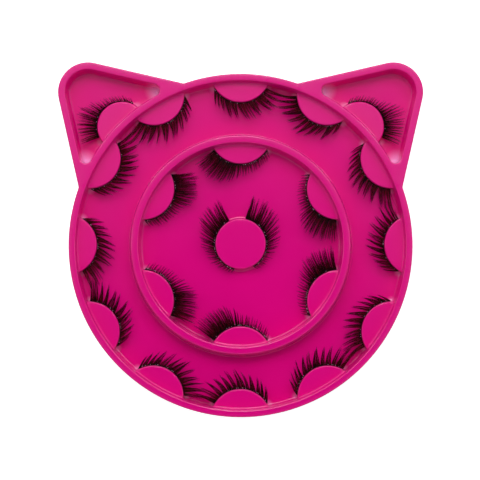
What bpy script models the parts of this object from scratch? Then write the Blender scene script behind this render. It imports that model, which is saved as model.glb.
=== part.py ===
"""Cat-head eyelash tray: one moulded tray and the lash strips that hang on its bosses.

The tray is a thin moulded shell with a ring-shaped channel, a round middle pocket
and two ear pockets. Half-height bosses stand in the pockets, and the band of one
lash strip lies round the wall of each boss, with two strips round the middle one.
The strips and bosses are given, and the pockets and rims are as large as they need.
Sizes are in metres. The rim faces +Z, the ears point to +Y and the tray stands on z = 0.
"""

import math
from collections import namedtuple

import bmesh
import bpy
from mathutils import Vector

# Outline of the head
EAR_TIP_RADIUS = 0.0150
NOTCH_FILLET = 0.0020
SKIRT_FLARE = 0.0003
EAR_HALF_ANGLE = math.radians(32)
EAR_ANGLES = {"right": math.radians(45), "left": math.radians(135)}

# Rims
RING_RIM_WIDTH = 0.0033
EAR_RIM_WIDTH = 0.0035
INNER_RING_WIDTH = 0.0035
EAR_POCKET_END_RADIUS = 0.0032

# Depths, wall and moulding radii
SHEET = 0.0010
POCKET_DEPTH = 0.0080
BOSS_DROP = 0.0040
EDGE_ROUND = 0.0006
FLOOR_FILLET = 0.0006
INNER_RING_ROUND = 0.0009
INNER_RING_FILLET = 0.0012
DRAFT = math.radians(8)

# Bosses, by the radius of the top
OUTER_BOSS_COUNT = 12
OUTER_BOSS_RADIUS = 0.0150
INNER_BOSS_COUNT = 6
INNER_BOSS_RADIUS = 0.01535
EAR_BOSS_RADIUS = 0.01235
MIDDLE_BOSS_RADIUS = 0.0125
MIDDLE_BOSS_RAISE = 0.0005

# Lash bands
BAND_LENGTH = 0.0320
BAND_HEIGHT = 0.0008
BAND_THICKNESS = 0.0005
BAND_DROP = 0.0002
SEAT_GAP = 0.0003

# Room between the ends of the bands and the wall behind them
OUTER_BAND_ROOM = 0.00188
INNER_BAND_ROOM = 0.00108
EAR_BAND_ROOM = 0.00325

# Room past the longest hairs: inner strips to middle strips, outer strips to the inner
# ring, and ear strips to the walls of their pockets
INNER_HAIR_ROOM = 0.0052
OUTER_HAIR_ROOM = 0.00506
EAR_HAIR_ROOM = 0.00098

# Lash hairs: at the band's short end, at its long end, and how far the tips curl up
OUTER_SHORT_HAIR = 0.0075
OUTER_LONG_HAIR = 0.0115
INNER_SHORT_HAIR = 0.0050
INNER_LONG_HAIR = 0.0105
EAR_SHORT_HAIR = 0.0028
EAR_LONG_HAIR = 0.0100
MIDDLE_SHORT_HAIR = 0.0030
MIDDLE_LONG_HAIR = 0.0110
HAIR_RISE = 0.0028
HAIR_CURL_POWER = 1.7
HAIR_GAP = 0.0005

# Facet counts
RING_SEGMENTS = 96
POCKET_SEGMENTS = 72
BOSS_SEGMENTS = 36
TIP_SEGMENTS = 10
CORNER_SEGMENTS = 3
EDGE_STEPS = 2
BOSS_EDGE_STEPS = 1
FILLET_STEPS = 1
INNER_RING_STEPS = 2
BAND_STEPS = 9

# Shares along a hair: where its two waists lie, and their size against the root
WAIST_SHARES = ((0.14, 0.36), (0.58, 0.24))

# Middles of the two strips that share the round boss
MIDDLE_LASH_ANGLES = {"right": math.radians(9), "left": math.radians(186)}

# How far cutters run past what they cut
OVERRUN = 0.0010

# Edges that turn further than this stay sharp
SHARP_ANGLE = math.radians(35)

HEIGHT = SHEET + POCKET_DEPTH
BOSS_TOP = HEIGHT - BOSS_DROP
BAND_REACH = (BAND_DROP + BAND_HEIGHT) * math.tan(DRAFT) + SEAT_GAP + BAND_THICKNESS
WALL_AT_BAND = (BOSS_DROP + BAND_DROP + BAND_HEIGHT) * math.tan(DRAFT)

Finish = namedtuple("Finish", "colour roughness coat")
PLASTIC = Finish((0.694, 0.016, 0.216), 0.22, 0.4)
HAIR = Finish((0.010, 0.005, 0.009), 0.55, 0.0)

# A hair style: lengths at the two ends, headings at the two ends from the band's
# middle normal, how the length grows along the band, and how uneven the hairs are
HairStyle = namedtuple("HairStyle", "short long short_heading long_heading growth_power unevenness")
OUTER_STYLE = HairStyle(OUTER_SHORT_HAIR, OUTER_LONG_HAIR, 0, math.radians(78), 1.2, 0.22)
INNER_STYLE = HairStyle(INNER_SHORT_HAIR, INNER_LONG_HAIR, math.radians(-12), math.radians(45), 1.6, 0.06)
EAR_STYLE = HairStyle(EAR_SHORT_HAIR, EAR_LONG_HAIR, math.radians(-12), math.radians(66), 1.1, 0.06)
MIDDLE_STYLE = HairStyle(MIDDLE_SHORT_HAIR, MIDDLE_LONG_HAIR, math.radians(-40), math.radians(74), 0.9, 0.08)


# Where things stand, by their reach from the ring's centre, from the middle outwards

def band_radii(boss_radius):
    """Inner and outer radius of a band that clears the boss's drafted wall."""
    outer = boss_radius + BAND_REACH
    return outer - BAND_THICKNESS, outer


def band_half_angle(boss_radius):
    return BAND_LENGTH / sum(band_radii(boss_radius))


def band_end(boss_radius):
    """How far the ends of a band lie before its boss's centre, and to the side of it."""
    outer = boss_radius + BAND_REACH
    half_angle = band_half_angle(boss_radius)
    return outer * math.cos(half_angle), outer * math.sin(half_angle)


def pocket_radius(boss_radius, boss_reach, room):
    """Rim radius of a round pocket whose wall clears the bands on its inward bosses."""
    before, beside = band_end(boss_radius)
    return math.hypot(boss_reach - before, beside) + room + WALL_AT_BAND


def outward_boss_reach(boss_radius, rim_radius, room):
    """Reach of a boss that faces away from the ring and has its band clear of the ring's wall."""
    before, beside = band_end(boss_radius)
    return math.sqrt((rim_radius + WALL_AT_BAND + room) ** 2 - beside ** 2) - before


MIDDLE_HAIR_REACH = MIDDLE_BOSS_RADIUS + BAND_REACH + MIDDLE_LONG_HAIR
INNER_BOSS_REACH = MIDDLE_HAIR_REACH + INNER_HAIR_ROOM + INNER_LONG_HAIR + BAND_REACH + INNER_BOSS_RADIUS
MIDDLE_POCKET_RADIUS = pocket_radius(INNER_BOSS_RADIUS, INNER_BOSS_REACH, INNER_BAND_ROOM)
INNER_RING_RADIUS = MIDDLE_POCKET_RADIUS + INNER_RING_WIDTH
OUTER_BOSS_REACH = INNER_RING_RADIUS + OUTER_HAIR_ROOM + OUTER_LONG_HAIR + BAND_REACH + OUTER_BOSS_RADIUS
CHANNEL_RADIUS = pocket_radius(OUTER_BOSS_RADIUS, OUTER_BOSS_REACH, OUTER_BAND_ROOM)
RING_RADIUS = CHANNEL_RADIUS + RING_RIM_WIDTH
EAR_BOSS_REACH = outward_boss_reach(EAR_BOSS_RADIUS, RING_RADIUS, EAR_BAND_ROOM)
EAR_HAIR_REACH = EAR_BOSS_RADIUS + BAND_REACH + EAR_LONG_HAIR
EAR_SIDE_ROOM = EAR_HAIR_REACH + EAR_HAIR_ROOM + EAR_RIM_WIDTH
EAR_CORNER_REACH = EAR_BOSS_REACH + EAR_SIDE_ROOM / math.sin(EAR_HALF_ANGLE)
EAR_SIDE_DISTANCE = EAR_CORNER_REACH * math.sin(EAR_HALF_ANGLE)
EAR_TIP_REACH = EAR_CORNER_REACH - EAR_TIP_RADIUS / math.sin(EAR_HALF_ANGLE)
EAR_TOP = EAR_TIP_REACH * math.sin(EAR_ANGLES["right"]) + EAR_TIP_RADIUS
RING_CENTRE = Vector((0, (RING_RADIUS - EAR_TOP) / 2, 0))


def clear_scene():
    for old in list(bpy.data.objects):
        bpy.data.objects.remove(old, do_unlink=True)


def make_material(name, finish):
    material = bpy.data.materials.new(name)
    material.use_nodes = True
    shader = material.node_tree.nodes["Principled BSDF"]
    shader.inputs["Base Color"].default_value = (*finish.colour, 1)
    shader.inputs["Roughness"].default_value = finish.roughness
    shader.inputs["Metallic"].default_value = 0
    shader.inputs["Coat Weight"].default_value = finish.coat
    material.diffuse_color = (*finish.colour, 1)
    return material


def finished_mesh(name, bm):
    """Make a mesh of the bmesh, with its faces pointing out and its round parts smooth."""
    bmesh.ops.recalc_face_normals(bm, faces=bm.faces)
    mesh = bpy.data.meshes.new(name)
    bm.to_mesh(mesh)
    bm.free()
    mesh.shade_smooth()
    mesh.set_sharp_from_angle(angle=SHARP_ANGLE)
    return mesh


def link_object(name, mesh):
    piece = bpy.data.objects.new(name, mesh)
    bpy.context.collection.objects.link(piece)
    return piece


def unit(angle):
    return Vector((math.cos(angle), math.sin(angle), 0))


def arc(centre, radius, start, end, segments):
    """Points along an arc, both ends included."""
    steps = [start + (end - start) * k / segments for k in range(segments + 1)]
    return [centre + radius * unit(angle) for angle in steps]


# Outlines: each gives the points of one level, moved in by an inset

def circle_outline(centre, radius, segments, turn=0):
    def outline(inset):
        angles = [turn + math.tau * k / segments for k in range(segments)]
        return [centre + (radius - inset) * unit(angle) for angle in angles]
    return outline


def ring_segments(span):
    return max(1, round(RING_SEGMENTS * span / math.tau))


def notch_centre(side_angle, direction):
    """Centre of the fillet where an ear's side runs out of the ring."""
    normal_reach = EAR_SIDE_DISTANCE + NOTCH_FILLET
    along = math.sqrt((RING_RADIUS + NOTCH_FILLET) ** 2 - normal_reach ** 2)
    return normal_reach * unit(side_angle) + along * direction * unit(side_angle + math.pi / 2)


def head_outline(inset):
    """The ring with its two ears, anticlockwise from the right ear's lower notch."""
    points = []
    reach_past_side = math.pi / 2 - EAR_HALF_ANGLE
    ears = (EAR_ANGLES["right"], EAR_ANGLES["left"])
    starts = []
    ends = []
    for axis in ears:
        starts.append(notch_centre(axis - reach_past_side, 1))
        ends.append(notch_centre(axis + reach_past_side, -1))
    for index, axis in enumerate(ears):
        first = axis - reach_past_side
        last = axis + reach_past_side
        first_notch = math.atan2(starts[index].y, starts[index].x)
        last_notch = math.atan2(ends[index].y, ends[index].x)
        tip = EAR_TIP_REACH * unit(axis)
        fillet = NOTCH_FILLET + inset
        points += arc(starts[index], fillet, first_notch + math.pi, first + math.pi, CORNER_SEGMENTS)
        points += arc(tip, EAR_TIP_RADIUS - inset, first, last, TIP_SEGMENTS)
        points += arc(ends[index], fillet, last + math.pi, last_notch + math.pi, CORNER_SEGMENTS)
        following = starts[(index + 1) % len(starts)]
        next_notch = math.atan2(following.y, following.x)
        span = (next_notch - last_notch) % math.tau
        around = arc(Vector(), RING_RADIUS - inset, last_notch, last_notch + span, ring_segments(span))
        points += around[1:-1]
    return [RING_CENTRE + point for point in points]


def ear_pocket_outline(axis):
    """Inside edge of an ear's rim, closed by an arc that follows the ring."""
    side_distance = EAR_SIDE_DISTANCE - EAR_RIM_WIDTH
    tip_radius = EAR_TIP_RADIUS - EAR_RIM_WIDTH
    first = axis - (math.pi / 2 - EAR_HALF_ANGLE)
    last = axis + (math.pi / 2 - EAR_HALF_ANGLE)
    normal_reach = side_distance - EAR_POCKET_END_RADIUS
    along = math.sqrt((RING_RADIUS + EAR_POCKET_END_RADIUS) ** 2 - normal_reach ** 2)
    low = normal_reach * unit(first) + along * unit(first + math.pi / 2)
    high = normal_reach * unit(last) - along * unit(last + math.pi / 2)
    low_angle = math.atan2(low.y, low.x)
    high_angle = math.atan2(high.y, high.x)

    def outline(inset):
        end_radius = EAR_POCKET_END_RADIUS - inset
        points = arc(low, end_radius, low_angle - math.pi, first, CORNER_SEGMENTS * 2)
        points += arc(EAR_TIP_REACH * unit(axis), tip_radius - inset, first, last, TIP_SEGMENTS)
        points += arc(high, end_radius, last, high_angle + math.pi, CORNER_SEGMENTS * 2)
        span = high_angle - low_angle
        back = arc(Vector(), RING_RADIUS + inset, high_angle, low_angle, ring_segments(span))
        points += back[1:-1]
        return [RING_CENTRE + point for point in points]
    return outline


# Wall profiles: pairs of inset and height, from the top down

def corner_curve(corner, before, after, radius, steps):
    """Round a corner of a profile between two unit directions, as pairs."""
    turning = before.angle(after)
    run = radius * math.tan(turning / 2)
    start = corner - before * run
    side = after - before * after.dot(before)
    side.normalize()
    centre = start + side * radius
    points = []
    for step in range(steps + 1):
        angle = turning * step / steps
        points.append(centre - side * radius * math.cos(angle) + before * radius * math.sin(angle))
    return points


def past(point, other, distance):
    """A point on the line from other through point, a height past it."""
    direction = point - other
    return point + direction * (distance / abs(direction.y))


def wall_levels(edge_height, edge_round, foot_fillet, round_steps, fillet_steps):
    """A drafted wall from a rounded edge down to a filleted foot on the pocket's floor."""
    flat = Vector((1, 0))
    down = Vector((math.sin(DRAFT), -math.cos(DRAFT)))
    edge = Vector((0, edge_height))
    foot = Vector(((edge_height - SHEET) * math.tan(DRAFT), SHEET))
    levels = corner_curve(edge, flat, down, edge_round, round_steps)
    levels += corner_curve(foot, down, flat, foot_fillet, fillet_steps)
    return levels


def hollow_levels(edge_height, top, bottom):
    """The back of a drafted wall: one sheet behind its face, without radii."""
    behind = SHEET / math.cos(DRAFT)
    slope = math.tan(DRAFT)
    return [((edge_height - height) * slope - behind, height) for height in (top, bottom)]


def turned_out(levels):
    """The levels of a solid that stands where the others describe a pocket."""
    return [(-inset, height) for inset, height in levels]


def pocket_levels():
    """Levels of a pocket, run out above the rim."""
    levels = wall_levels(HEIGHT, EDGE_ROUND, FLOOR_FILLET, EDGE_STEPS, FILLET_STEPS)
    levels[0] = past(levels[0], levels[1], OVERRUN)
    return levels


def boss_levels():
    """Levels of a boss that stands in a pocket, run out below the pocket's floor."""
    levels = wall_levels(BOSS_TOP, EDGE_ROUND, FLOOR_FILLET, BOSS_EDGE_STEPS, FILLET_STEPS)
    levels[-1] = past(levels[-1], levels[-2], SHEET / 2)
    return turned_out(levels)


def island_levels():
    """Levels of the inner ring's outside, run out above the rim and below the floor."""
    levels = wall_levels(HEIGHT, INNER_RING_ROUND, INNER_RING_FILLET, INNER_RING_STEPS, INNER_RING_STEPS)
    levels[0] = past(levels[0], levels[1], 2 * OVERRUN)
    levels[-1] = past(levels[-1], levels[-2], SHEET / 2)
    return turned_out(levels)


def add_loft(bm, outline, levels):
    """Skin the outline through its levels and close both ends."""
    rings = []
    for inset, height in levels:
        rings.append([bm.verts.new((point.x, point.y, height)) for point in outline(inset)])
    for upper, lower in zip(rings, rings[1:]):
        count = len(upper)
        for k in range(count):
            bm.faces.new((upper[k], upper[(k + 1) % count], lower[(k + 1) % count], lower[k]))
    bm.faces.new(rings[0])
    bm.faces.new(rings[-1])


def loft_object(name, outlines, levels):
    bm = bmesh.new()
    for outline in outlines:
        add_loft(bm, outline, levels)
    return link_object(name, finished_mesh(name, bm))


def hide_cutter(cutter):
    cutter.hide_render = True
    cutter.display_type = "WIRE"


def cut(target, cutter):
    """Take the cutter out of the target with a Boolean that stays on it."""
    modifier = target.modifiers.new(cutter.name, "BOOLEAN")
    modifier.operation = "DIFFERENCE"
    modifier.solver = "EXACT"
    modifier.object = cutter
    hide_cutter(cutter)


# Bosses

def boss_places(count, reach, first_angle):
    """Centres and angles of the bosses that stand round the ring's centre."""
    angles = [first_angle + math.tau * k / count for k in range(count)]
    return [(RING_CENTRE + reach * unit(angle), angle) for angle in angles]


OUTER_PLACES = boss_places(OUTER_BOSS_COUNT, OUTER_BOSS_REACH, 0)
INNER_PLACES = boss_places(INNER_BOSS_COUNT, INNER_BOSS_REACH, math.pi / INNER_BOSS_COUNT)
EAR_PLACES = {ear: (RING_CENTRE + EAR_BOSS_REACH * unit(angle), angle) for ear, angle in EAR_ANGLES.items()}
MIDDLE_PLACE = RING_CENTRE + MIDDLE_BOSS_RAISE * unit(math.pi / 2)


def boss_outlines(places, radius):
    return [circle_outline(centre, radius, BOSS_SEGMENTS, angle) for centre, angle in places]


def top_bosses(name, places, radius):
    return loft_object(name, boss_outlines(places, radius), boss_levels())


def under_bosses(name, places, radius):
    """The hollows under bosses: one sheet inside each boss's top and wall."""
    levels = turned_out(hollow_levels(BOSS_TOP, BOSS_TOP - SHEET, -3 * OVERRUN))
    return loft_object(name, boss_outlines(places, radius), levels)


# Tray

def channel_void(prefix, levels, island, bosses):
    wall = circle_outline(RING_CENTRE, CHANNEL_RADIUS, RING_SEGMENTS)
    void = loft_object(prefix + "_channel", [wall], levels)
    inner_ring = circle_outline(RING_CENTRE, INNER_RING_RADIUS, POCKET_SEGMENTS)
    cut(void, loft_object(prefix + "_channel_island", [inner_ring], island))
    cut(void, bosses)
    return void


def top_voids():
    """Pockets as they are seen from above, with the bosses left standing in them."""
    levels = pocket_levels()
    bosses = top_bosses("outer_bosses", OUTER_PLACES, OUTER_BOSS_RADIUS)
    voids = [channel_void("top", levels, island_levels(), bosses)]
    wall = circle_outline(RING_CENTRE, MIDDLE_POCKET_RADIUS, POCKET_SEGMENTS)
    middle = loft_object("top_middle_pocket", [wall], levels)
    cut(middle, top_bosses("inner_bosses", INNER_PLACES, INNER_BOSS_RADIUS))
    cut(middle, top_bosses("middle_boss", [(MIDDLE_PLACE, 0)], MIDDLE_BOSS_RADIUS))
    voids.append(middle)
    for side, angle in EAR_ANGLES.items():
        ear = loft_object(f"top_{side}_ear_pocket", [ear_pocket_outline(angle)], levels)
        cut(ear, top_bosses(f"{side}_ear_boss", [EAR_PLACES[side]], EAR_BOSS_RADIUS))
        voids.append(ear)
    return voids


def under_voids():
    """The same pockets one sheet larger, which the hollow underside goes round."""
    levels = hollow_levels(HEIGHT, HEIGHT + OVERRUN, -2 * OVERRUN)
    island = turned_out(hollow_levels(HEIGHT, HEIGHT + 2 * OVERRUN, -3 * OVERRUN))
    bosses = under_bosses("outer_boss_hollows", OUTER_PLACES, OUTER_BOSS_RADIUS)
    voids = [channel_void("under", levels, island, bosses)]
    wall = circle_outline(RING_CENTRE, MIDDLE_POCKET_RADIUS, POCKET_SEGMENTS)
    middle = loft_object("under_middle_pocket", [wall], levels)
    cut(middle, under_bosses("inner_boss_hollows", INNER_PLACES, INNER_BOSS_RADIUS))
    cut(middle, under_bosses("middle_boss_hollow", [(MIDDLE_PLACE, 0)], MIDDLE_BOSS_RADIUS))
    voids.append(middle)
    for side, angle in EAR_ANGLES.items():
        ear = loft_object(f"under_{side}_ear_pocket", [ear_pocket_outline(angle)], levels)
        cut(ear, under_bosses(f"{side}_ear_boss_hollow", [EAR_PLACES[side]], EAR_BOSS_RADIUS))
        voids.append(ear)
    return voids


def make_tray():
    """The outer form less its pockets, less the same form one sheet smaller."""
    levels = [(EDGE_ROUND, HEIGHT), (0, HEIGHT - EDGE_ROUND), (-SKIRT_FLARE, 0)]
    tray = loft_object("tray", [head_outline], levels)
    for void in top_voids():
        cut(tray, void)
    inside = [(SHEET, HEIGHT - SHEET), (SHEET - SKIRT_FLARE, -OVERRUN)]
    core = loft_object("underside", [head_outline], inside)
    for void in under_voids():
        cut(core, void)
    cut(tray, core)
    tray.data.materials.append(make_material("tray_plastic", PLASTIC))
    return tray


# Lash strips. Each mesh is made round its boss's axis, with the band's middle at +X and
# the top of the band at zero. A side of 1 puts the long hairs at +Y, and -1 at -Y.

Lash = namedtuple("Lash", "boss_radius style ring_reach boss_count")
OUTER_LASH = Lash(OUTER_BOSS_RADIUS, OUTER_STYLE, OUTER_BOSS_REACH, OUTER_BOSS_COUNT)
INNER_LASH = Lash(INNER_BOSS_RADIUS, INNER_STYLE, INNER_BOSS_REACH, INNER_BOSS_COUNT)
EAR_LASH = Lash(EAR_BOSS_RADIUS, EAR_STYLE, None, None)
MIDDLE_LASH = Lash(MIDDLE_BOSS_RADIUS, MIDDLE_STYLE, None, None)


def add_band(bm, lash):
    """The curved band, as a bent bar. Gives the faces that its hairs grow out of."""
    inner, outer = band_radii(lash.boss_radius)
    half_angle = band_half_angle(lash.boss_radius)
    corners = ((inner, 0), (outer, 0), (outer, -BAND_HEIGHT), (inner, -BAND_HEIGHT))
    sections = []
    for k in range(BAND_STEPS + 1):
        out = unit(half_angle * (2 * k / BAND_STEPS - 1))
        places = [out * radius + Vector((0, 0, height)) for radius, height in corners]
        sections.append([bm.verts.new(place) for place in places])
    outward = []
    for near, far in zip(sections, sections[1:]):
        for k in range(4):
            face = bm.faces.new((near[k], far[k], far[(k + 1) % 4], near[(k + 1) % 4]))
            if k == 1:
                outward.append(face)
    bm.faces.new(sections[0])
    bm.faces.new(sections[-1])
    return outward


def gap_reach(lash, side, root, heading):
    """How far a hair may run before it reaches the next strip's half of the gap."""
    if lash.ring_reach is None:
        return math.inf
    across = unit(side * (math.pi / 2 - math.pi / lash.boss_count))
    approach = across.dot(unit(heading))
    if approach <= 0:
        return math.inf
    ring_centre = Vector((lash.ring_reach, 0, 0))
    return (across.dot(ring_centre - root) - HAIR_GAP) / approach


def hair_point(root, heading, length, share):
    """A place along a hair, which curls upwards towards its tip."""
    return root + unit(heading) * length * share + Vector((0, 0, HAIR_RISE * share ** HAIR_CURL_POWER))


def grow_hair(bm, face, lash, side, order):
    """Draw one tapered hair out of a face of the band."""
    style = lash.style
    root = face.calc_center_median()
    turn = side * math.atan2(root.y, root.x)
    along = (turn / band_half_angle(lash.boss_radius) + 1) / 2
    heading = side * (style.short_heading + (style.long_heading - style.short_heading) * along)
    length = style.short + (style.long - style.short) * along ** style.growth_power
    length *= 1 - style.unevenness * (order % 2)
    length = min(length, gap_reach(lash, side, root, heading))
    roots = [vertex.co - root for vertex in face.verts]
    for share, size in WAIST_SHARES:
        face = bmesh.ops.extrude_discrete_faces(bm, faces=[face])["faces"][0]
        waist = hair_point(root, heading, length, share)
        for vertex, start in zip(face.verts, roots):
            vertex.co = waist + start * size
    tip = bmesh.ops.poke(bm, faces=[face])["verts"][0]
    tip.co = hair_point(root, heading, length, 1)


def lash_meshes(name, lash):
    """The strip's mesh for each side that its long hairs can be on."""
    meshes = {}
    for side in (1, -1):
        bm = bmesh.new()
        outward = add_band(bm, lash)
        bmesh.ops.recalc_face_normals(bm, faces=bm.faces)
        halves = bmesh.ops.triangulate(bm, faces=outward)["faces"]
        for order, face in enumerate(halves):
            grow_hair(bm, face, lash, side, order)
        meshes[side] = finished_mesh(f"{name}_{side}", bm)
    return meshes


def place_lash(name, mesh, centre, middle):
    """Stand a strip on its boss, with its origin on the boss's axis."""
    strip = link_object(name, mesh.copy())
    strip.data.materials.append(make_material(name + "_fibre", HAIR))
    strip.location = centre + Vector((0, 0, BOSS_TOP - BAND_DROP))
    strip.rotation_euler.z = middle


def clock_hour(angle):
    """Hour on a clock face whose twelve points to +Y."""
    return round((math.pi / 2 - angle) / (math.tau / 12)) % 12 or 12


def make_ring_lashes(name, lash, places, forward_hours):
    """A strip on each boss of a ring. Its long hairs point clockwise at the forward hours."""
    meshes = lash_meshes(name, lash)
    for centre, angle in places:
        hour = clock_hour(angle)
        side = 1 if hour in forward_hours else -1
        place_lash(f"{name}_{hour}_oclock", meshes[side], centre, angle + math.pi)


def make_lashes():
    """Strips lie in pairs, whose long hairs face each other across every second gap."""
    make_ring_lashes("outer_lash", OUTER_LASH, OUTER_PLACES, (2, 4, 6, 8, 10, 12))
    make_ring_lashes("inner_lash", INNER_LASH, INNER_PLACES, (2, 6, 10))
    ear_meshes = lash_meshes("ear_lash", EAR_LASH)
    middle_meshes = lash_meshes("middle_lash", MIDDLE_LASH)
    for name, side in (("right", -1), ("left", 1)):
        centre, angle = EAR_PLACES[name]
        place_lash(f"ear_lash_{name}", ear_meshes[side], centre, angle)
        place_lash(f"middle_lash_{name}", middle_meshes[-side], MIDDLE_PLACE, MIDDLE_LASH_ANGLES[name])


def main():
    clear_scene()
    make_tray()
    make_lashes()


main()
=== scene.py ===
"""Eyelash tray: a moulded cat-head tray whose low bosses carry false lash strips.

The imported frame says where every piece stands. The tray's shell and the strips are
modelled here round that frame, in metres, and dressed with their finishes. Places in
plan are complex numbers, with +X as the real part and +Y as the imaginary part.
"""

from __future__ import annotations

import cmath
import logging
import math
from dataclasses import dataclass, field
from enum import Enum
from typing import Any, Callable, Iterator, Sequence

import bmesh
import bpy
import numpy as np
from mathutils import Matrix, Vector

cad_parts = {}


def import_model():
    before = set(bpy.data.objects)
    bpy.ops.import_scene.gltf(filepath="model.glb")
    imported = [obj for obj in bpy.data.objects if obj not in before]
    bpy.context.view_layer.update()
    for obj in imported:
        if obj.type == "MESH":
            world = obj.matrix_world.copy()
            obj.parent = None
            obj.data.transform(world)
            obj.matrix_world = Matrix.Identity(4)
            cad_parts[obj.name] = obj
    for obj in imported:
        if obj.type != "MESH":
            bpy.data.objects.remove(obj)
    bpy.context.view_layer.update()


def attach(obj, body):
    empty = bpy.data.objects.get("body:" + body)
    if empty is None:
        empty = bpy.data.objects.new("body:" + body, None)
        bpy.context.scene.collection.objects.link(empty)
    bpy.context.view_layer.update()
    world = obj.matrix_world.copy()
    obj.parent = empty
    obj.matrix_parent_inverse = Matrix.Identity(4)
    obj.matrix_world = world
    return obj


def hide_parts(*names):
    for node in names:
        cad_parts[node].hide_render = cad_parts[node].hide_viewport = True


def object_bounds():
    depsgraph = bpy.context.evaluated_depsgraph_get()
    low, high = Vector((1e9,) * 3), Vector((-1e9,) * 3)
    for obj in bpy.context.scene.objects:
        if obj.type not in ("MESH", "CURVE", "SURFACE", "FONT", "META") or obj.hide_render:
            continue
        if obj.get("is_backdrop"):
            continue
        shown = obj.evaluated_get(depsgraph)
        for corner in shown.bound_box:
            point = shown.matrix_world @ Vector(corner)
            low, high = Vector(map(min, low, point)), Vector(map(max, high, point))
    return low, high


LOG = logging.getLogger("eyelash_tray")
MM = 0.001
COOL_WHITE = (1.0, 0.99, 1.1)

Colour = tuple[float, float, float, float]
Profile = list[tuple[float, float]]
Outline = Callable[[Any, Any], np.ndarray]


# Plan geometry


def unit(angle: float | np.ndarray) -> complex | np.ndarray:
    """Unit direction in plan at an angle from +X."""
    return np.exp(1j * angle)


def arc(centre: complex, radius: float, start: float, end: float, steps: int) -> np.ndarray:
    """Points along an arc, both ends included.

    Args:
        centre: Centre of the arc.
        radius: Radius of the arc.
        start: Angle of the first point.
        end: Angle of the last point, above or below start.
        steps: Number of equal steps between the two.

    Returns:
        The points, one more than the steps.
    """
    return centre + radius * unit(np.linspace(start, end, steps + 1))


def wrapped(angle: float) -> float:
    """The same angle, between minus and plus half a turn."""
    return math.remainder(angle, math.tau)


def lifted(plan: np.ndarray, height: float | np.ndarray) -> np.ndarray:
    """Stand plan points at a height, as rows of x, y and z."""
    return np.column_stack((plan.real, plan.imag, np.broadcast_to(height, plan.shape)))


class PocketSide(Enum):
    """Which side of a round wall its pocket lies on."""

    INSIDE = 1
    OUTSIDE = -1


@dataclass(frozen=True)
class BossRow:
    """Bosses of one size that grow out of a round wall.

    Attributes:
        angles: Angle of each boss about the ring's centre, in rising order.
        reach: From the ring's centre to a boss's centre.
        radius: Radius of a boss's top.
    """

    angles: tuple[float, ...]
    reach: float
    radius: float


def boss_row(count: int, shift: float, reach: float, radius: float) -> BossRow:
    """Bosses spaced evenly round the ring, the first a share of their pitch past +X."""
    return BossRow(tuple(math.tau * (order + shift) / count for order in range(count)), reach, radius)


def round_levels(centre: complex, radius: float, profile: Profile, steps: int) -> list[np.ndarray]:
    """Levels of a round island, which is wider at its foot."""
    turn = unit(np.arange(steps) * math.tau / steps)
    return [lifted(centre + (radius + inset) * turn, height) for inset, height in profile]


@dataclass(frozen=True)
class GlintSpot:
    """A corner where the sheet is drawn thin and pale, with its copies round the ring.

    Attributes:
        turn: Angle of one of its axes of symmetry about the ring's centre.
        pitch: Angle from that axis to the next.
        spot: Its place from the ring's centre, with that axis along X.
        fade: How far off the painted glint is brightest, and where it ends.
        share: How strong the painted glint is.
    """

    turn: float
    pitch: float
    spot: complex
    fade: tuple[float, float]
    share: float


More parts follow.
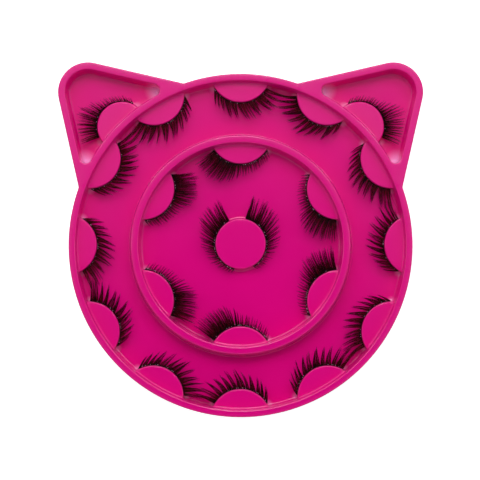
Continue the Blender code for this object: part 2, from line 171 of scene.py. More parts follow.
@dataclass(frozen=True)
class RoundWall:
    """A round wall of a pocket, about the ring's centre, with the bosses that grow out of it.

    Attributes:
        radius: Radius at the rim.
        side: Which side the pocket lies on.
        bosses: The bosses.
        wall_steps: Steps along the wall between two bosses.
        corner_steps: Steps round the corner between wall and boss.
        boss_steps: Steps round a boss.
    """

    radius: float
    side: PocketSide
    bosses: BossRow
    wall_steps: int
    corner_steps: int = 5
    boss_steps: int = 34

    def past_boss(self, inset: float, outset: float, corner: float) -> tuple[np.ndarray, float]:
        """Outline past a boss on the +X axis: a corner, the boss and the other corner.

        Args:
            inset: How far the wall has come into the pocket from its rim.
            outset: How far the boss's wall stands out from its top.
            corner: Radius of the corners.

        Returns:
            The points in rising order of angle, and the half angle that they take up.
        """
        sign = self.side.value
        to_corner = self.radius - sign * (inset + corner)
        from_boss = self.bosses.radius + outset + corner
        reach = self.bosses.reach
        half = math.acos((to_corner**2 + reach**2 - from_boss**2) / (2 * to_corner * reach))
        centre = cmath.rect(to_corner, -half)
        start = -half if self.side is PocketSide.INSIDE else math.pi - half
        turn = wrapped(cmath.phase(reach - centre) - start)
        first = arc(centre, corner, start, start + turn, self.corner_steps)
        facing = cmath.phase(centre - reach)
        sweep = -2 * (math.pi + facing) if self.side is PocketSide.INSIDE else -2 * facing
        round_boss = arc(reach, from_boss - corner, facing, facing + sweep, self.boss_steps)
        return np.concatenate((first, round_boss[1:-1], first.conj()[::-1])), half

    def bossed(self, inset: float, outset: float, corner: float, start: float, end: float) -> np.ndarray:
        """Outline of the wall and its bosses from one angle to another.

        Args:
            inset: How far the wall has come into the pocket from its rim.
            outset: How far the bosses' walls stand out from their tops.
            corner: Radius of the corners.
            start: Angle where the outline starts.
            end: Angle where it ends, which repeats the start on a full turn.

        Returns:
            The points, both ends included.
        """
        past, half = self.past_boss(inset, outset, corner)
        wall = self.radius - self.side.value * inset
        parts = [wall * unit(np.array([start]))]
        reached = start
        for angle in self.bosses.angles:
            parts.append(arc(0, wall, reached, angle - half, self.wall_steps)[1:-1])
            parts.append(past * unit(angle))
            reached = angle + half
        parts.append(arc(0, wall, reached, end, self.wall_steps)[1:])
        return np.concatenate(parts)

    def plain_angles(self, bossed: np.ndarray, half: float, start: float, end: float) -> np.ndarray:
        """Angles on the bare wall that go with the points of a bossed outline.

        Args:
            bossed: The bossed outline.
            half: Half the angle that a boss and its corners take up.
            start: Angle where the outline starts.
            end: Angle where it ends.

        Returns:
            One angle for each point.
        """
        count = 2 * self.corner_steps + self.boss_steps + 1
        parts = [np.array([start])]
        reached = start
        place = 1
        for angle in self.bosses.angles:
            parts.append(np.linspace(reached, angle - half, self.wall_steps + 1)[1:-1])
            place += self.wall_steps - 1
            run = np.concatenate(([0], np.cumsum(np.abs(np.diff(bossed[place : place + count])))))
            parts.append(angle + half * (2 * run / run[-1] - 1))
            place += count
            reached = angle + half
        parts.append(np.linspace(reached, end, self.wall_steps + 1)[1:])
        return np.concatenate(parts)


# Tray


@dataclass(frozen=True)
class Skin:
    """Heights and radii of one face of the moulded sheet.

    Attributes:
        floor: Height of the pockets' floors.
        boss_top: Height of the bosses.
        rim: Height of the rims.
        behind: Sideways distance from the walls' visible faces.
        foot: Radius where a wall meets a floor.
        end_foot: The same in the narrow ends of the ear pockets.
        edge: Radius of a rim's edge.
        boss_edge: Radius of a boss's edge.
        crease: Radius where a boss's top meets the wall above it.
        corner: Radius of the upright corner between boss and wall.
        ring_foot: Radius where the inner ring's outside meets the floor.
        ring_edge: Radius of the inner ring's outer edge.
        steps: Steps round each radius.
    """

    floor: float
    boss_top: float
    rim: float
    behind: float
    foot: float
    end_foot: float
    edge: float
    boss_edge: float
    crease: float
    corner: float
    ring_foot: float
    ring_edge: float
    steps: int


@dataclass
class MeshSketch:
    """Draws closed loops into a mesh in edit mode, each extruded from the one before.

    Attributes:
        name: Name of the finished object.
        body: The object that is being drawn.
        loop: Indices of the vertices of the last loop.
    """

    FLAT_FACES_LEAD = 100

    name: str
    body: bpy.types.Object = field(init=False)
    loop: list[int] = field(default_factory=list)

    def __post_init__(self) -> None:
        """Start an empty mesh and open it for editing."""
        bpy.ops.object.select_all(action="DESELECT")
        bpy.ops.mesh.primitive_circle_add(vertices=3, radius=MM)
        self.body = bpy.context.object
        self.body.name = self.name
        bpy.ops.object.mode_set(mode="EDIT")
        bpy.ops.mesh.select_mode(type="VERT")
        bpy.ops.mesh.delete(type="VERT")

    def new_circle(self) -> list[int]:
        """Find the circle that was just added.

        Returns:
            Indices of its vertices, in order round it.
        """
        mesh = bmesh.from_edit_mesh(self.body.data)
        mesh.verts.index_update()
        found = [vert for vert in mesh.verts if vert.select]
        found.sort(key=lambda vert: math.atan2(vert.co.y, vert.co.x))
        return [vert.index for vert in found]

    def place(self, points: np.ndarray) -> None:
        """Move the vertices of the last loop.

        Args:
            points: Where they go.
        """
        mesh = bmesh.from_edit_mesh(self.body.data)
        mesh.verts.ensure_lookup_table()
        for index, point in zip(self.loop, points):
            mesh.verts[index].co = point
        bmesh.update_edit_mesh(self.body.data, destructive=False)

    def start(self, points: np.ndarray) -> list[int]:
        """Add a loop with nothing below it.

        Args:
            points: Where its vertices go.

        Returns:
            Indices of its vertices.
        """
        bpy.ops.mesh.select_all(action="DESELECT")
        bpy.ops.mesh.primitive_circle_add(vertices=len(points), radius=MM)
        self.loop = self.new_circle()
        self.place(points)
        return self.loop

    def extrude(self, points: np.ndarray) -> list[int]:
        """Extrude the last loop to new points.

        Args:
            points: Where the new vertices go.

        Returns:
            Indices of the new vertices.
        """
        bpy.ops.mesh.extrude_edges_indiv()
        mesh = bmesh.from_edit_mesh(self.body.data)
        mesh.verts.index_update()
        mesh.verts.ensure_lookup_table()
        grown = []
        for index in self.loop:
            below = mesh.verts[index]
            others = (edge.other_vert(below) for edge in below.link_edges)
            grown.append(next(other.index for other in others if other.select))
        self.loop = grown
        self.place(points)
        return self.loop

    def loft(self, levels: Sequence[np.ndarray]) -> tuple[list[int], list[int]]:
        """Skin a wall through its levels.

        Args:
            levels: The points of each loop, from the first to the last.

        Returns:
            Indices of the first loop's vertices and of the last one's.
        """
        first = self.start(levels[0])
        for points in levels[1:]:
            self.extrude(points)
        return first, self.loop

    def fill(self, *loops: list[int]) -> None:
        """Fill the flat face between loops of one height.

        Args:
            loops: Indices of each loop's vertices.
        """
        bpy.ops.mesh.select_all(action="DESELECT")
        mesh = bmesh.from_edit_mesh(self.body.data)
        mesh.verts.ensure_lookup_table()
        for loop in loops:
            for near, far in zip(loop, loop[1:] + loop[:1]):
                edge = mesh.edges.get((mesh.verts[near], mesh.verts[far]))
                edge.select_set(True)
        bmesh.update_edit_mesh(self.body.data, destructive=False)
        bpy.ops.mesh.fill(use_beauty=True)

    def sort_faces(self) -> None:
        """Store the faces in the order of their vertices, because filling leaves it to chance."""
        mesh = bmesh.from_edit_mesh(self.body.data)
        mesh.verts.index_update()
        in_order = sorted(mesh.faces, key=lambda face: [vertex.index for vertex in face.verts])
        ranks = {face: rank for rank, face in enumerate(in_order)}
        mesh.faces.sort(key=ranks.get)
        bmesh.update_edit_mesh(self.body.data)

    def close(self, smooth_below: float) -> bpy.types.Object:
        """Finish the mesh, with its faces outwards and its radii shaded smooth.

        Args:
            smooth_below: Edges that turn less than this angle are smooth.

        Returns:
            The finished object.
        """
        bpy.ops.mesh.select_all(action="SELECT")
        bpy.ops.mesh.normals_make_consistent(inside=False)
        self.sort_faces()
        bpy.ops.object.mode_set(mode="OBJECT")
        bpy.ops.object.shade_smooth_by_angle(angle=smooth_below)
        bpy.ops.object.modifier_add(type="WEIGHTED_NORMAL")
        weighted = self.body.modifiers[-1]
        weighted.mode = "FACE_AREA"
        weighted.weight = self.FLAT_FACES_LEAD
        weighted.keep_sharp = True
        bpy.ops.object.modifier_apply(modifier=weighted.name)
        return self.body


@dataclass
class Tray:
    """The moulded shell: head outline, ring channel, middle pocket, ear pockets and bosses.

    Attributes:
        centre: Centre of the ring.
        ring_radius: Outer edge of the ring's rim.
        channel_radius: Inner edge of that rim, where the channel starts.
        inner_ring_radius: Outer edge of the inner ring.
        middle_radius: Inner edge of the inner ring, where the middle pocket starts.
        ear_corner_reach: From the ring's centre to the point where an ear's sides would meet.
        ear_tip_radius: Radius of an ear's tip.
        ear_half_angle: Angle of an ear's sides from its axis.
        ear_rim_width: Width of an ear's rim.
        ear_end_radius: Radius of the narrow ends of an ear's pocket.
        notch_fillet: Radius where an ear meets the ring.
        skirt_flare: How far the outer wall stands out at its foot.
        sheet: Thickness of the sheet.
        draft: Lean of the pockets' walls.
        under_edge: Radius of the edges on the underside.
        middle_boss_radius: Radius of the boss in the middle.
        middle_boss_raise: How far it stands from the centre, towards the ears.
        outer: The bosses in the channel.
        inner: The bosses in the middle pocket.
        ear_boss_reach: From the ring's centre to the centre of an ear's boss.
        ear_boss_radius: Radius of an ear's boss.
        ear_angles: Directions of the right and the left ear.
        ring_steps: Steps round the ring.
        channel_wall_steps: Steps along the channel's wall between two bosses.
        middle_wall_steps: Steps along the middle pocket's wall between two bosses.
        middle_boss_steps: Steps round the boss in the middle.
        ear_wall_steps: Steps along the back of an ear's pocket beside its boss.
        tip_steps: Steps round an ear's tip.
        end_steps: Steps round the narrow ends of an ear's pocket.
        notch_steps: Steps round the fillet where an ear meets the ring.
        level_gap: How far the levels at a boss's top are kept apart on the bare wall.
        first_level: Share of a step at which the first level above a boss's top stands.
        smooth_below: Edges that turn less than this angle are smooth.
        ear_glint_turn: How far the glint painted into an ear pocket's end lies round the ring.
        ear_glint_fade: How far off that spot the painted glint is brightest, and where it ends.
        ear_glint_share: How strong that painted glint is.
        boss_glint_fade: The same distances for the glints painted into the corners between a boss and its
            wall.
        boss_glint_share: How strong those painted glints are.
    """

    centre: complex = -2.93j * MM
    ring_radius: float = 86.0 * MM
    channel_radius: float = 82.7 * MM
    inner_ring_radius: float = 54.8 * MM
    middle_radius: float = 51.3 * MM
    ear_corner_reach: float = 137.0 * MM
    ear_tip_radius: float = 15.0 * MM
    ear_half_angle: float = math.radians(32)
    ear_rim_width: float = 3.5 * MM
    ear_end_radius: float = 3.2 * MM
    notch_fillet: float = 2.0 * MM
    skirt_flare: float = 0.3 * MM
    sheet: float = 1.0 * MM
    draft: float = math.radians(8)
    under_edge: float = 0.2 * MM
    middle_boss_radius: float = 12.5 * MM
    middle_boss_raise: float = 0.5 * MM
    outer: BossRow = boss_row(12, 0, 87.3 * MM, 15.0 * MM)
    inner: BossRow = boss_row(6, 0.5, 56.43 * MM, 15.35 * MM)
    ear_boss_reach: float = 84.6 * MM
    ear_boss_radius: float = 12.35 * MM
    ear_angles: tuple[float, float] = (math.pi / 4, 3 * math.pi / 4)
    ring_steps: int = 180
    channel_wall_steps: int = 14
    middle_wall_steps: int = 22
    middle_boss_steps: int = 96
    ear_wall_steps: int = 10
    tip_steps: int = 22
    end_steps: int = 10
    notch_steps: int = 5
    level_gap: float = 0.1 * MM
    first_level: float = 0.3
    smooth_below: float = math.radians(32)
    ear_glint_turn: float = math.radians(1.3)
    ear_glint_fade: tuple[float, float] = (0.6 * MM, 7.5 * MM)
    ear_glint_share: float = 0.95
    boss_glint_fade: tuple[float, float] = (0.2 * MM, 2.8 * MM)
    boss_glint_share: float = 0.36

    def top_skin(self) -> Skin:
        """The visible face of the sheet."""
        return Skin(
            floor=1.0 * MM,
            boss_top=5.0 * MM,
            rim=9.0 * MM,
            behind=0.0,
            foot=1.0 * MM,
            end_foot=2.0 * MM,
            edge=0.6 * MM,
            boss_edge=0.5 * MM,
            crease=0.9 * MM,
            corner=0.9 * MM,
            ring_foot=0.6 * MM,
            ring_edge=0.7 * MM,
            steps=4,
        )

    def under_skin(self) -> Skin:
        """Work out the underside of the sheet, one thickness behind its visible face.

        Returns:
            The underside.
        """
        top = self.top_skin()
        return Skin(
            floor=top.floor - self.sheet,
            boss_top=top.boss_top - self.sheet,
            rim=top.rim - self.sheet,
            behind=self.sheet * math.tan((math.pi / 2 - self.draft) / 2),
            foot=top.foot + self.sheet,
            end_foot=top.end_foot + self.sheet,
            edge=self.under_edge,
            boss_edge=self.under_edge,
            crease=top.crease + self.sheet,
            corner=top.corner + self.sheet,
            ring_foot=top.ring_foot + self.sheet,
            ring_edge=self.under_edge,
            steps=3,
        )

    def rounding(self, radius: float, steps: int, lean: float | None = None) -> Profile:
        """Round the corner between a leaning wall and a flat face.

        Args:
            radius: Radius of the rounding.
            steps: Steps along it.
            lean: How far the wall leans from upright, or nothing for the pockets' draft.

        Returns:
            Pairs of distance off the wall's line and distance from the flat face, which
            start on the flat face.
        """
        lean = self.draft if lean is None else lean
        turn = math.pi / 2 - lean
        run = radius * math.tan(turn / 2)
        pairs = []
        for step in range(steps + 1):
            angle = turn * step / steps
            away = radius * (1 - math.cos(angle))
            pairs.append((run - radius * math.sin(angle) + away * math.tan(lean), away))
        return pairs

    def wall_profile(self, skin: Skin, top: float, foot: float, edge: float) -> Profile:
        """Profile of a plain drafted wall.

        Args:
            skin: Face of the sheet.
            top: Height of the wall's edge.
            foot: Radius at the floor.
            edge: Radius at the edge.

        Returns:
            Pairs of inset and height, from the floor up.
        """
        slope = math.tan(self.draft)
        levels = []
        for off, away in self.rounding(foot, skin.steps):
            levels.append(((top - skin.floor - away) * slope + off - skin.behind, skin.floor + away))
        for off, away in reversed(self.rounding(edge, skin.steps)):
            levels.append((away * slope - off - skin.behind, top - away))
        return levels

    # Outlines

    @property
    def middle_place(self) -> complex:
        """Centre of the boss in the middle."""
        return self.centre + 1j * self.middle_boss_raise

    @property
    def past_side(self) -> float:
        """Angle from an ear's axis to the direction that its side faces."""
        return math.pi / 2 - self.ear_half_angle

    @property
    def side_distance(self) -> float:
        """From the ring's centre to the line of an ear's side."""
        return self.ear_corner_reach * math.sin(self.ear_half_angle)

    @property
    def tip_reach(self) -> float:
        """From the ring's centre to the centre of an ear's tip."""
        return self.ear_corner_reach - self.ear_tip_radius / math.sin(self.ear_half_angle)

    def beside_ring(self, distance: float, radius: float) -> complex:
        """Centre of a round that touches the ring, this far out along the side's direction."""
        return complex(distance, math.sqrt((self.ring_radius + radius) ** 2 - distance**2))

    def head(self, inset: float) -> np.ndarray:
        """Outline of the ring and its two ears.

        Args:
            inset: How far it is moved in.

        Returns:
            Its points.
        """
        notch = self.beside_ring(self.side_distance + self.notch_fillet, self.notch_fillet)
        turn = cmath.phase(notch)
        fillet = self.notch_fillet + inset
        parts = []
        for index, axis in enumerate(self.ear_angles):
            right, left = axis - self.past_side, axis + self.past_side
            end = left - turn
            rounds = (
                (notch * unit(right), fillet, right + turn + math.pi, right + math.pi, self.notch_steps),
                (self.tip_reach * unit(axis), self.ear_tip_radius - inset, right, left, self.tip_steps),
                (notch.conjugate() * unit(left), fillet, left + math.pi, end + math.pi, self.notch_steps),
            )
            parts.extend(arc(*numbers) for numbers in rounds)
            following = self.ear_angles[(index + 1) % 2] - self.past_side + turn
            span = (following - end) % math.tau
            steps = round(self.ring_steps * span / math.tau)
            parts.append(arc(0, self.ring_radius - inset, end, end + span, steps)[1:-1])
        return self.centre + np.concatenate(parts)

    def ear_end(self) -> complex:
        """Centre of an ear pocket's end radius on the low side, with the ear's axis along X."""
        distance = self.side_distance - self.ear_rim_width - self.ear_end_radius
        return self.beside_ring(distance, self.ear_end_radius) * unit(-self.past_side)

    def ear_front(self, inset: float) -> np.ndarray:
        """Outline of an ear pocket's ends, sides and tip, without its back.

        Args:
            inset: How far it is moved in.

        Returns:
            Its points, with the ear's axis along X.
        """
        low = self.ear_end()
        turn = cmath.phase(low)
        radius = self.ear_end_radius - inset
        tip = self.ear_tip_radius - self.ear_rim_width - inset
        parts = (
            arc(low, radius, turn - math.pi, -self.past_side, self.end_steps),
            arc(self.tip_reach, tip, -self.past_side, self.past_side, self.tip_steps),
            arc(low.conjugate(), radius, self.past_side, math.pi - turn, self.end_steps),
        )
        return np.concatenate(parts)[1:-1]

    def walls(self) -> tuple[RoundWall, RoundWall, RoundWall]:
        """The round walls that carry bosses.

        Returns:
            Those of the channel and the middle pocket, and the back of an ear along X.
        """
        ear_boss = BossRow((0.0,), self.ear_boss_reach, self.ear_boss_radius)
        channel = RoundWall(self.channel_radius, PocketSide.INSIDE, self.outer, self.channel_wall_steps)
        middle = RoundWall(self.middle_radius, PocketSide.INSIDE, self.inner, self.middle_wall_steps)
        ear_back = RoundWall(self.ring_radius, PocketSide.OUTSIDE, ear_boss, self.ear_wall_steps)
        return channel, middle, ear_back

    def glint_spots(self) -> list[GlintSpot]:
        """Find the corners at the foot of the pockets' walls, where glints are painted into the sheet's
        colour.

        Returns:
            One for each kind of corner.
        """
        top = self.top_skin()
        inset, outset = ((high - top.floor) * math.tan(self.draft) for high in (top.rim, top.boss_top))
        axis = self.ear_angles[0]
        # Each place is a glint painted into the sheet's colour, where a fillet would catch the light.
        ear_end = self.ear_end().conjugate() * unit(self.ear_glint_turn)
        places = [GlintSpot(axis, math.pi, ear_end, self.ear_glint_fade, self.ear_glint_share)]
        for wall, turn in zip(self.walls(), (self.outer.angles[0], self.inner.angles[0], axis)):
            half = wall.past_boss(inset, outset, 0.0)[1]
            spot = cmath.rect(wall.radius - wall.side.value * (inset + top.corner), half)
            pitch = math.pi / len(wall.bosses.angles)
            places.append(GlintSpot(turn, pitch, spot, self.boss_glint_fade, self.boss_glint_share))
        return places

    # Walls of the pockets

    def ring_levels(self, wall: RoundWall, skin: Skin) -> list[np.ndarray]:
        """Levels of a round pocket whose bosses grow out of its wall, from the floor up.

        Args:
            wall: The pocket's wall.
            skin: Face of the sheet.

        Returns:
            The points of each level.
        """
        start = -math.pi / len(wall.bosses.angles) + wall.bosses.angles[0]
        end = start + math.tau

        def bossed(inset: float, outset: float) -> np.ndarray:
            """Outline with the bosses."""
            return wall.bossed(inset, outset, skin.corner, start, end)[:-1]

        def plain(insets: np.ndarray, angles: np.ndarray) -> np.ndarray:
            """Outline above the bosses."""
            return (wall.radius - wall.side.value * insets) * unit(angles[:-1])

        return self.pocket_levels(wall, skin, bossed, plain, start, end)

    def ear_levels(self, wall: RoundWall, axis: float, skin: Skin) -> list[np.ndarray]:
        """Levels of an ear pocket, whose boss grows out of its back.

        Args:
            wall: The back of an ear along X.
            axis: Angle of the ear.
            skin: Face of the sheet.

        Returns:
            The points of each level.
        """
        start = cmath.phase(self.ear_end())
        front = self.ear_front(0.0)
        to_inner = self.ear_front(MM) - front

        def bossed(inset: float, outset: float) -> np.ndarray:
            """Outline with the boss."""
            back = wall.bossed(inset, outset, skin.corner, start, -start)
            return np.concatenate((back[::-1], self.ear_front(inset)))

        def plain(insets: np.ndarray, angles: np.ndarray) -> np.ndarray:
            """Outline above the boss."""
            count = len(angles)
            back = (wall.radius + insets[:count]) * unit(angles[::-1])
            return np.concatenate((back, front + to_inner * insets[count:] / MM))

        levels = self.pocket_levels(wall, skin, bossed, plain, start, -start)
        self.round_ends(levels, skin)
        return [self.turned(level, axis) for level in levels]

    def round_ends(self, levels: list[np.ndarray], skin: Skin) -> None:
        """Give the narrow ends of an ear pocket their larger radius at the floor.

        Args:
            levels: The pocket's levels, whose lowest ones are changed.
            skin: Face of the sheet.
        """
        front = self.ear_front(0.0)
        across = (self.ear_front(MM) - front) / MM
        swell = np.sin(np.linspace(0, math.pi, self.end_steps + 1))
        radius = np.full(len(front), skin.foot)
        radius[: self.end_steps] += (skin.end_foot - skin.foot) * swell[1:]
        radius[-self.end_steps :] += (skin.end_foot - skin.foot) * swell[:-1]
        for level, (off, away) in zip(levels, self.rounding(1.0, skin.steps)):
            height = skin.floor + radius * away
            inset = (skin.rim - height) * math.tan(self.draft) + radius * off - skin.behind
            level[-len(front) :] = lifted(self.centre + front + across * inset, height)

    def turned(self, level: np.ndarray, angle: float) -> np.ndarray:
        """Turn a level about the ring's centre."""
        plan = (level[:, 0] + 1j * level[:, 1] - self.centre) * unit(angle) + self.centre
        return lifted(plan, level[:, 2])

    def pocket_levels(
        self, wall: RoundWall, skin: Skin, bossed: Outline, plain: Outline, start: float, end: float
    ) -> list[np.ndarray]:
        """Levels of a pocket with bosses, from the floor up to the rim.

        Args:
            wall: The round wall that carries the bosses.
            skin: Face of the sheet.
            bossed: Gives the outline with bosses from the wall's inset and the bosses' outset.
            plain: Gives the outline above the bosses from the insets and the wall's angles.
            start: Angle where the round wall starts.
            end: Angle where it ends.

        Returns:
            The points of each level.
        """
        slope = math.tan(self.draft)
        levels = []
        for off, away in self.rounding(skin.foot, skin.steps):
            height = skin.floor + away
            inset = (skin.rim - height) * slope + off - skin.behind
            outset = (skin.boss_top - height) * slope + off - skin.behind
            levels.append(lifted(self.centre + bossed(inset, outset), height))
        for off, away in reversed(self.rounding(skin.boss_edge, skin.steps)):
            height = skin.boss_top - away
            inset = (skin.rim - height) * slope - skin.behind
            outset = away * slope - off - skin.behind
            last = bossed(inset, outset)
            levels.append(lifted(self.centre + last, height))
        _, half = wall.past_boss(inset, outset, skin.corner)
        full = wall.bossed(inset, outset, skin.corner, start, end)
        angles = wall.plain_angles(full, half, start, end)
        bare = plain(np.full(last.shape, inset), angles)
        share = np.clip(np.abs(bare - last) / (2 * skin.crease), 0, 1)
        lower = (1 - share) * self.level_gap
        shifted = last + plain(inset + lower * slope, angles) - bare
        levels[-1] = lifted(self.centre + shifted, skin.boss_top - lower)
        pairs = self.rounding(skin.crease, skin.steps)
        for step, (off, away) in enumerate(pairs):
            spread = skin.crease * (step + self.first_level) / len(pairs)
            height = skin.boss_top + share * away + (1 - share) * spread
            insets = (skin.rim - height) * slope - skin.behind + share * off
            levels.append(lifted(self.centre + plain(insets, angles), height))
        for off, away in reversed(self.rounding(skin.edge, skin.steps)):
            insets = np.full(last.shape, away * slope - off - skin.behind)
            levels.append(lifted(self.centre + plain(insets, angles), skin.rim - away))
        return levels

    # Modelling

    def draw_skin(self, sketch: MeshSketch, skin: Skin) -> list[list[int]]:
        """Draw the pockets of one face of the sheet, with their floors.

        Args:
            sketch: The mesh that is being drawn.
            skin: Face of the sheet.

        Returns:
            The loops at the rim: channel, inner ring, middle pocket and ear pockets.
        """
        channel, middle, ear_back = self.walls()
        channel_foot, channel_rim = sketch.loft(self.ring_levels(channel, skin))
        profile = self.wall_profile(skin, skin.rim, skin.ring_foot, skin.ring_edge)
        island = round_levels(self.centre, self.inner_ring_radius, profile, self.ring_steps)
        island_foot, island_rim = sketch.loft(island)
        sketch.fill(channel_foot, island_foot)
        middle_foot, middle_rim = sketch.loft(self.ring_levels(middle, skin))
        profile = self.wall_profile(skin, skin.boss_top, skin.foot, skin.boss_edge)
        boss = round_levels(self.middle_place, self.middle_boss_radius, profile, self.middle_boss_steps)
        boss_foot, boss_top = sketch.loft(boss)
        sketch.fill(middle_foot, boss_foot)
        sketch.fill(boss_top)
        rims = [channel_rim, island_rim, middle_rim]
        for axis in self.ear_angles:
            foot, rim = sketch.loft(self.ear_levels(ear_back, axis, skin))
            sketch.fill(foot)
            rims.append(rim)
        return rims

    def draw_face(self, sketch: MeshSketch, skirt: Profile, skin: Skin) -> list[int]:
        """Draw one whole face of the sheet, from the foot of its skirt to its pockets.

        Args:
            sketch: The mesh that is being drawn.
            skirt: Profile of the outer wall, from the foot up.
            skin: Face of the sheet.

        Returns:
            The loop at the skirt's foot.
        """
        foot, rim = sketch.loft([lifted(self.head(inset), height) for inset, height in skirt])
        channel, island, middle, *ears = self.draw_skin(sketch, skin)
        sketch.fill(rim, channel, *ears)
        sketch.fill(island, middle)
        return foot

    def build(self) -> bpy.types.Object:
        """Model the shell as one closed mesh.

        Returns:
            The finished object.
        """
        sketch = MeshSketch("tray_shell")
        top, under = self.top_skin(), self.under_skin()
        slope = self.skirt_flare / top.rim
        outside = [(-self.skirt_flare, 0.0)]
        for off, away in reversed(self.rounding(top.edge, top.steps, math.atan(slope))):
            outside.append((off - away * slope, top.rim - away))
        inside = [(self.sheet - self.skirt_flare, 0.0), (self.sheet, under.rim)]
        outer_foot = self.draw_face(sketch, outside, top)
        inner_foot = self.draw_face(sketch, inside, under)
        sketch.fill(outer_foot, inner_foot)
        return sketch.close(self.smooth_below)


# Lash strips


class LongEnd(Enum):
    """Which way round its boss a strip's long hairs lie, seen from above."""

    ANTICLOCKWISE = 1
    CLOCKWISE = -1


@dataclass(frozen=True)
class LashStyle:
    """How the hairs of a strip run from its short end to its long end.

    Attributes:
        stations: Shares along the band at which the next five are given.
        lengths: Length of a hair, in millimetres.
        headings: Heading of a hair from the band's middle, towards the long end, in degrees.
        tufts: Tufts to a millimetre of band.
        hairs: Hairs to a millimetre of band.
        gathers: Share of a tuft's spread that is lost at its tip.
        bend: How far a hair turns from root to tip, in degrees.
        beads: Number of beads of glue between the roots.
        points: Number of points that a tuft ends in.
        sway: How far the tufts' headings differ, in degrees.
        under: Share of the hairs that are short and fill the roots.
        under_tone: Lowest tone of those, where 0 is the darkest.
        stray: How far headings stray within a tuft, in degrees.
        loose: Share of the hairs that lie outside the tufts.
        ragged: Share by which the tufts' lengths differ.
        unevenness: Share by which lengths differ within a tuft.
        thickness: Radius of a hair at its root.
        wall_angle: Direction of a straight wall from the boss's centre, as for the headings.
        wall_reach: How far that way the hairs may reach.
    """

    stations: tuple[float, ...]
    lengths: tuple[float, ...]
    headings: tuple[float, ...]
    tufts: tuple[float, ...]
    hairs: tuple[float, ...]
    gathers: tuple[float, ...]
    bend: float
    beads: int
    points: int = 1
    sway: float = 2.4
    under: float = 0.42
    under_tone: float = 0.0
    stray: float = 1.0
    loose: float = 0.1
    ragged: float = 0.1
    unevenness: float = 0.14
    thickness: float = 0.076 * MM
    wall_angle: float = 0.0
    wall_reach: float = math.inf


OUTER_STYLE = LashStyle(
    stations=(0.0, 0.1, 0.28, 0.42, 0.56, 0.69, 0.8, 0.9, 1.0),
    lengths=(8.8, 9.4, 10.4, 11.3, 11.4, 11.0, 11.6, 12.9, 14.5),
    headings=(1.0, 4.0, 12.0, 22.0, 29.0, 39.0, 48.0, 60.0, 72.0),
    tufts=(0.42, 0.38, 0.33, 0.31, 0.31, 0.33, 0.38, 0.46, 0.55),
    hairs=(14.0, 14.0, 14.0, 15.0, 16.0, 17.0, 18.0, 18.0, 18.0),
    gathers=(0.68, 0.68, 0.64, 0.62, 0.6, 0.56, 0.5, 0.46, 0.44),
    bend=18.0,
    beads=12,
    points=2,
    sway=2.6,
    under=0.26,
    under_tone=0.55,
    loose=0.05,
    unevenness=0.22,
    thickness=0.088 * MM,
)
INNER_STYLE = LashStyle(
    stations=(0.0, 0.18, 0.34, 0.5, 0.57, 0.64, 0.82, 1.0),
    lengths=(4.8, 5.4, 6.3, 7.4, 10.2, 12.8, 13.6, 13.4),
    headings=(-24.0, -20.0, -13.0, 1.0, 12.0, 24.0, 38.0, 52.0),
    tufts=(0.75, 0.75, 0.75, 0.85, 1.2, 1.4, 1.5, 1.6),
    hairs=(8.0, 8.0, 9.5, 14.0, 30.0, 44.0, 48.0, 48.0),
    gathers=(0.88, 0.88, 0.88, 0.88, 0.86, 0.86, 0.86, 0.86),
    bend=14.0,
    beads=14,
    sway=1.2,
    loose=0.08,
    ragged=0.08,
)
EAR_STYLE = LashStyle(
    stations=(0.0, 0.18, 0.36, 0.48, 0.58, 0.66, 0.8, 0.94, 1.0),
    lengths=(3.2, 3.7, 4.4, 5.8, 9.0, 11.8, 13.2, 12.8, 11.6),
    headings=(-23.0, -16.0, -7.0, 6.0, 14.0, 20.0, 44.0, 65.0, 73.0),
    tufts=(0.8, 0.8, 0.8, 0.9, 1.1, 1.25, 1.3, 1.3, 1.3),
    hairs=(8.0, 8.0, 9.0, 12.0, 19.0, 24.0, 28.0, 28.0, 26.0),
    gathers=(0.9, 0.9, 0.9, 0.9, 0.9, 0.9, 0.9, 0.9, 0.9),
    bend=12.0,
    beads=6,
    under=0.36,
    stray=1.3,
    thickness=0.072 * MM,
    wall_angle=58.0,
    wall_reach=22.7 * MM,
)
MIDDLE_STYLE = LashStyle(
    stations=(0.0, 0.2, 0.35, 0.5, 0.65, 0.8, 1.0),
    lengths=(3.0, 5.0, 7.4, 10.2, 12.8, 13.4, 13.0),
    headings=(-50.0, -26.0, 4.0, 26.0, 46.0, 60.0, 68.0),
    tufts=(0.85, 0.9, 1.0, 1.15, 1.25, 1.35, 1.4),
    hairs=(8.0, 8.0, 11.0, 20.0, 32.0, 36.0, 37.0),
    gathers=(0.9, 0.9, 0.9, 0.92, 0.92, 0.92, 0.92),
    bend=8.0,
    beads=18,
    under_tone=0.1,
    stray=1.2,
    ragged=0.11,
    unevenness=0.16,
)


@dataclass(frozen=True)
class LashPlace:
    """Where one strip stands.

    Attributes:
        name: Name of the strip's body and node.
        style: How its hairs run.
        centre: Centre of its boss.
        radius: Radius of its boss.
        middle: Angle at which the band's middle lies round the boss.
        long_end: Which way round its long hairs lie.
        swing: How far its long end's hairs are combed back, in degrees.
    """

    name: str
    style: LashStyle
    centre: complex
    radius: float
    middle: float
    long_end: LongEnd
    swing: float = 0.0


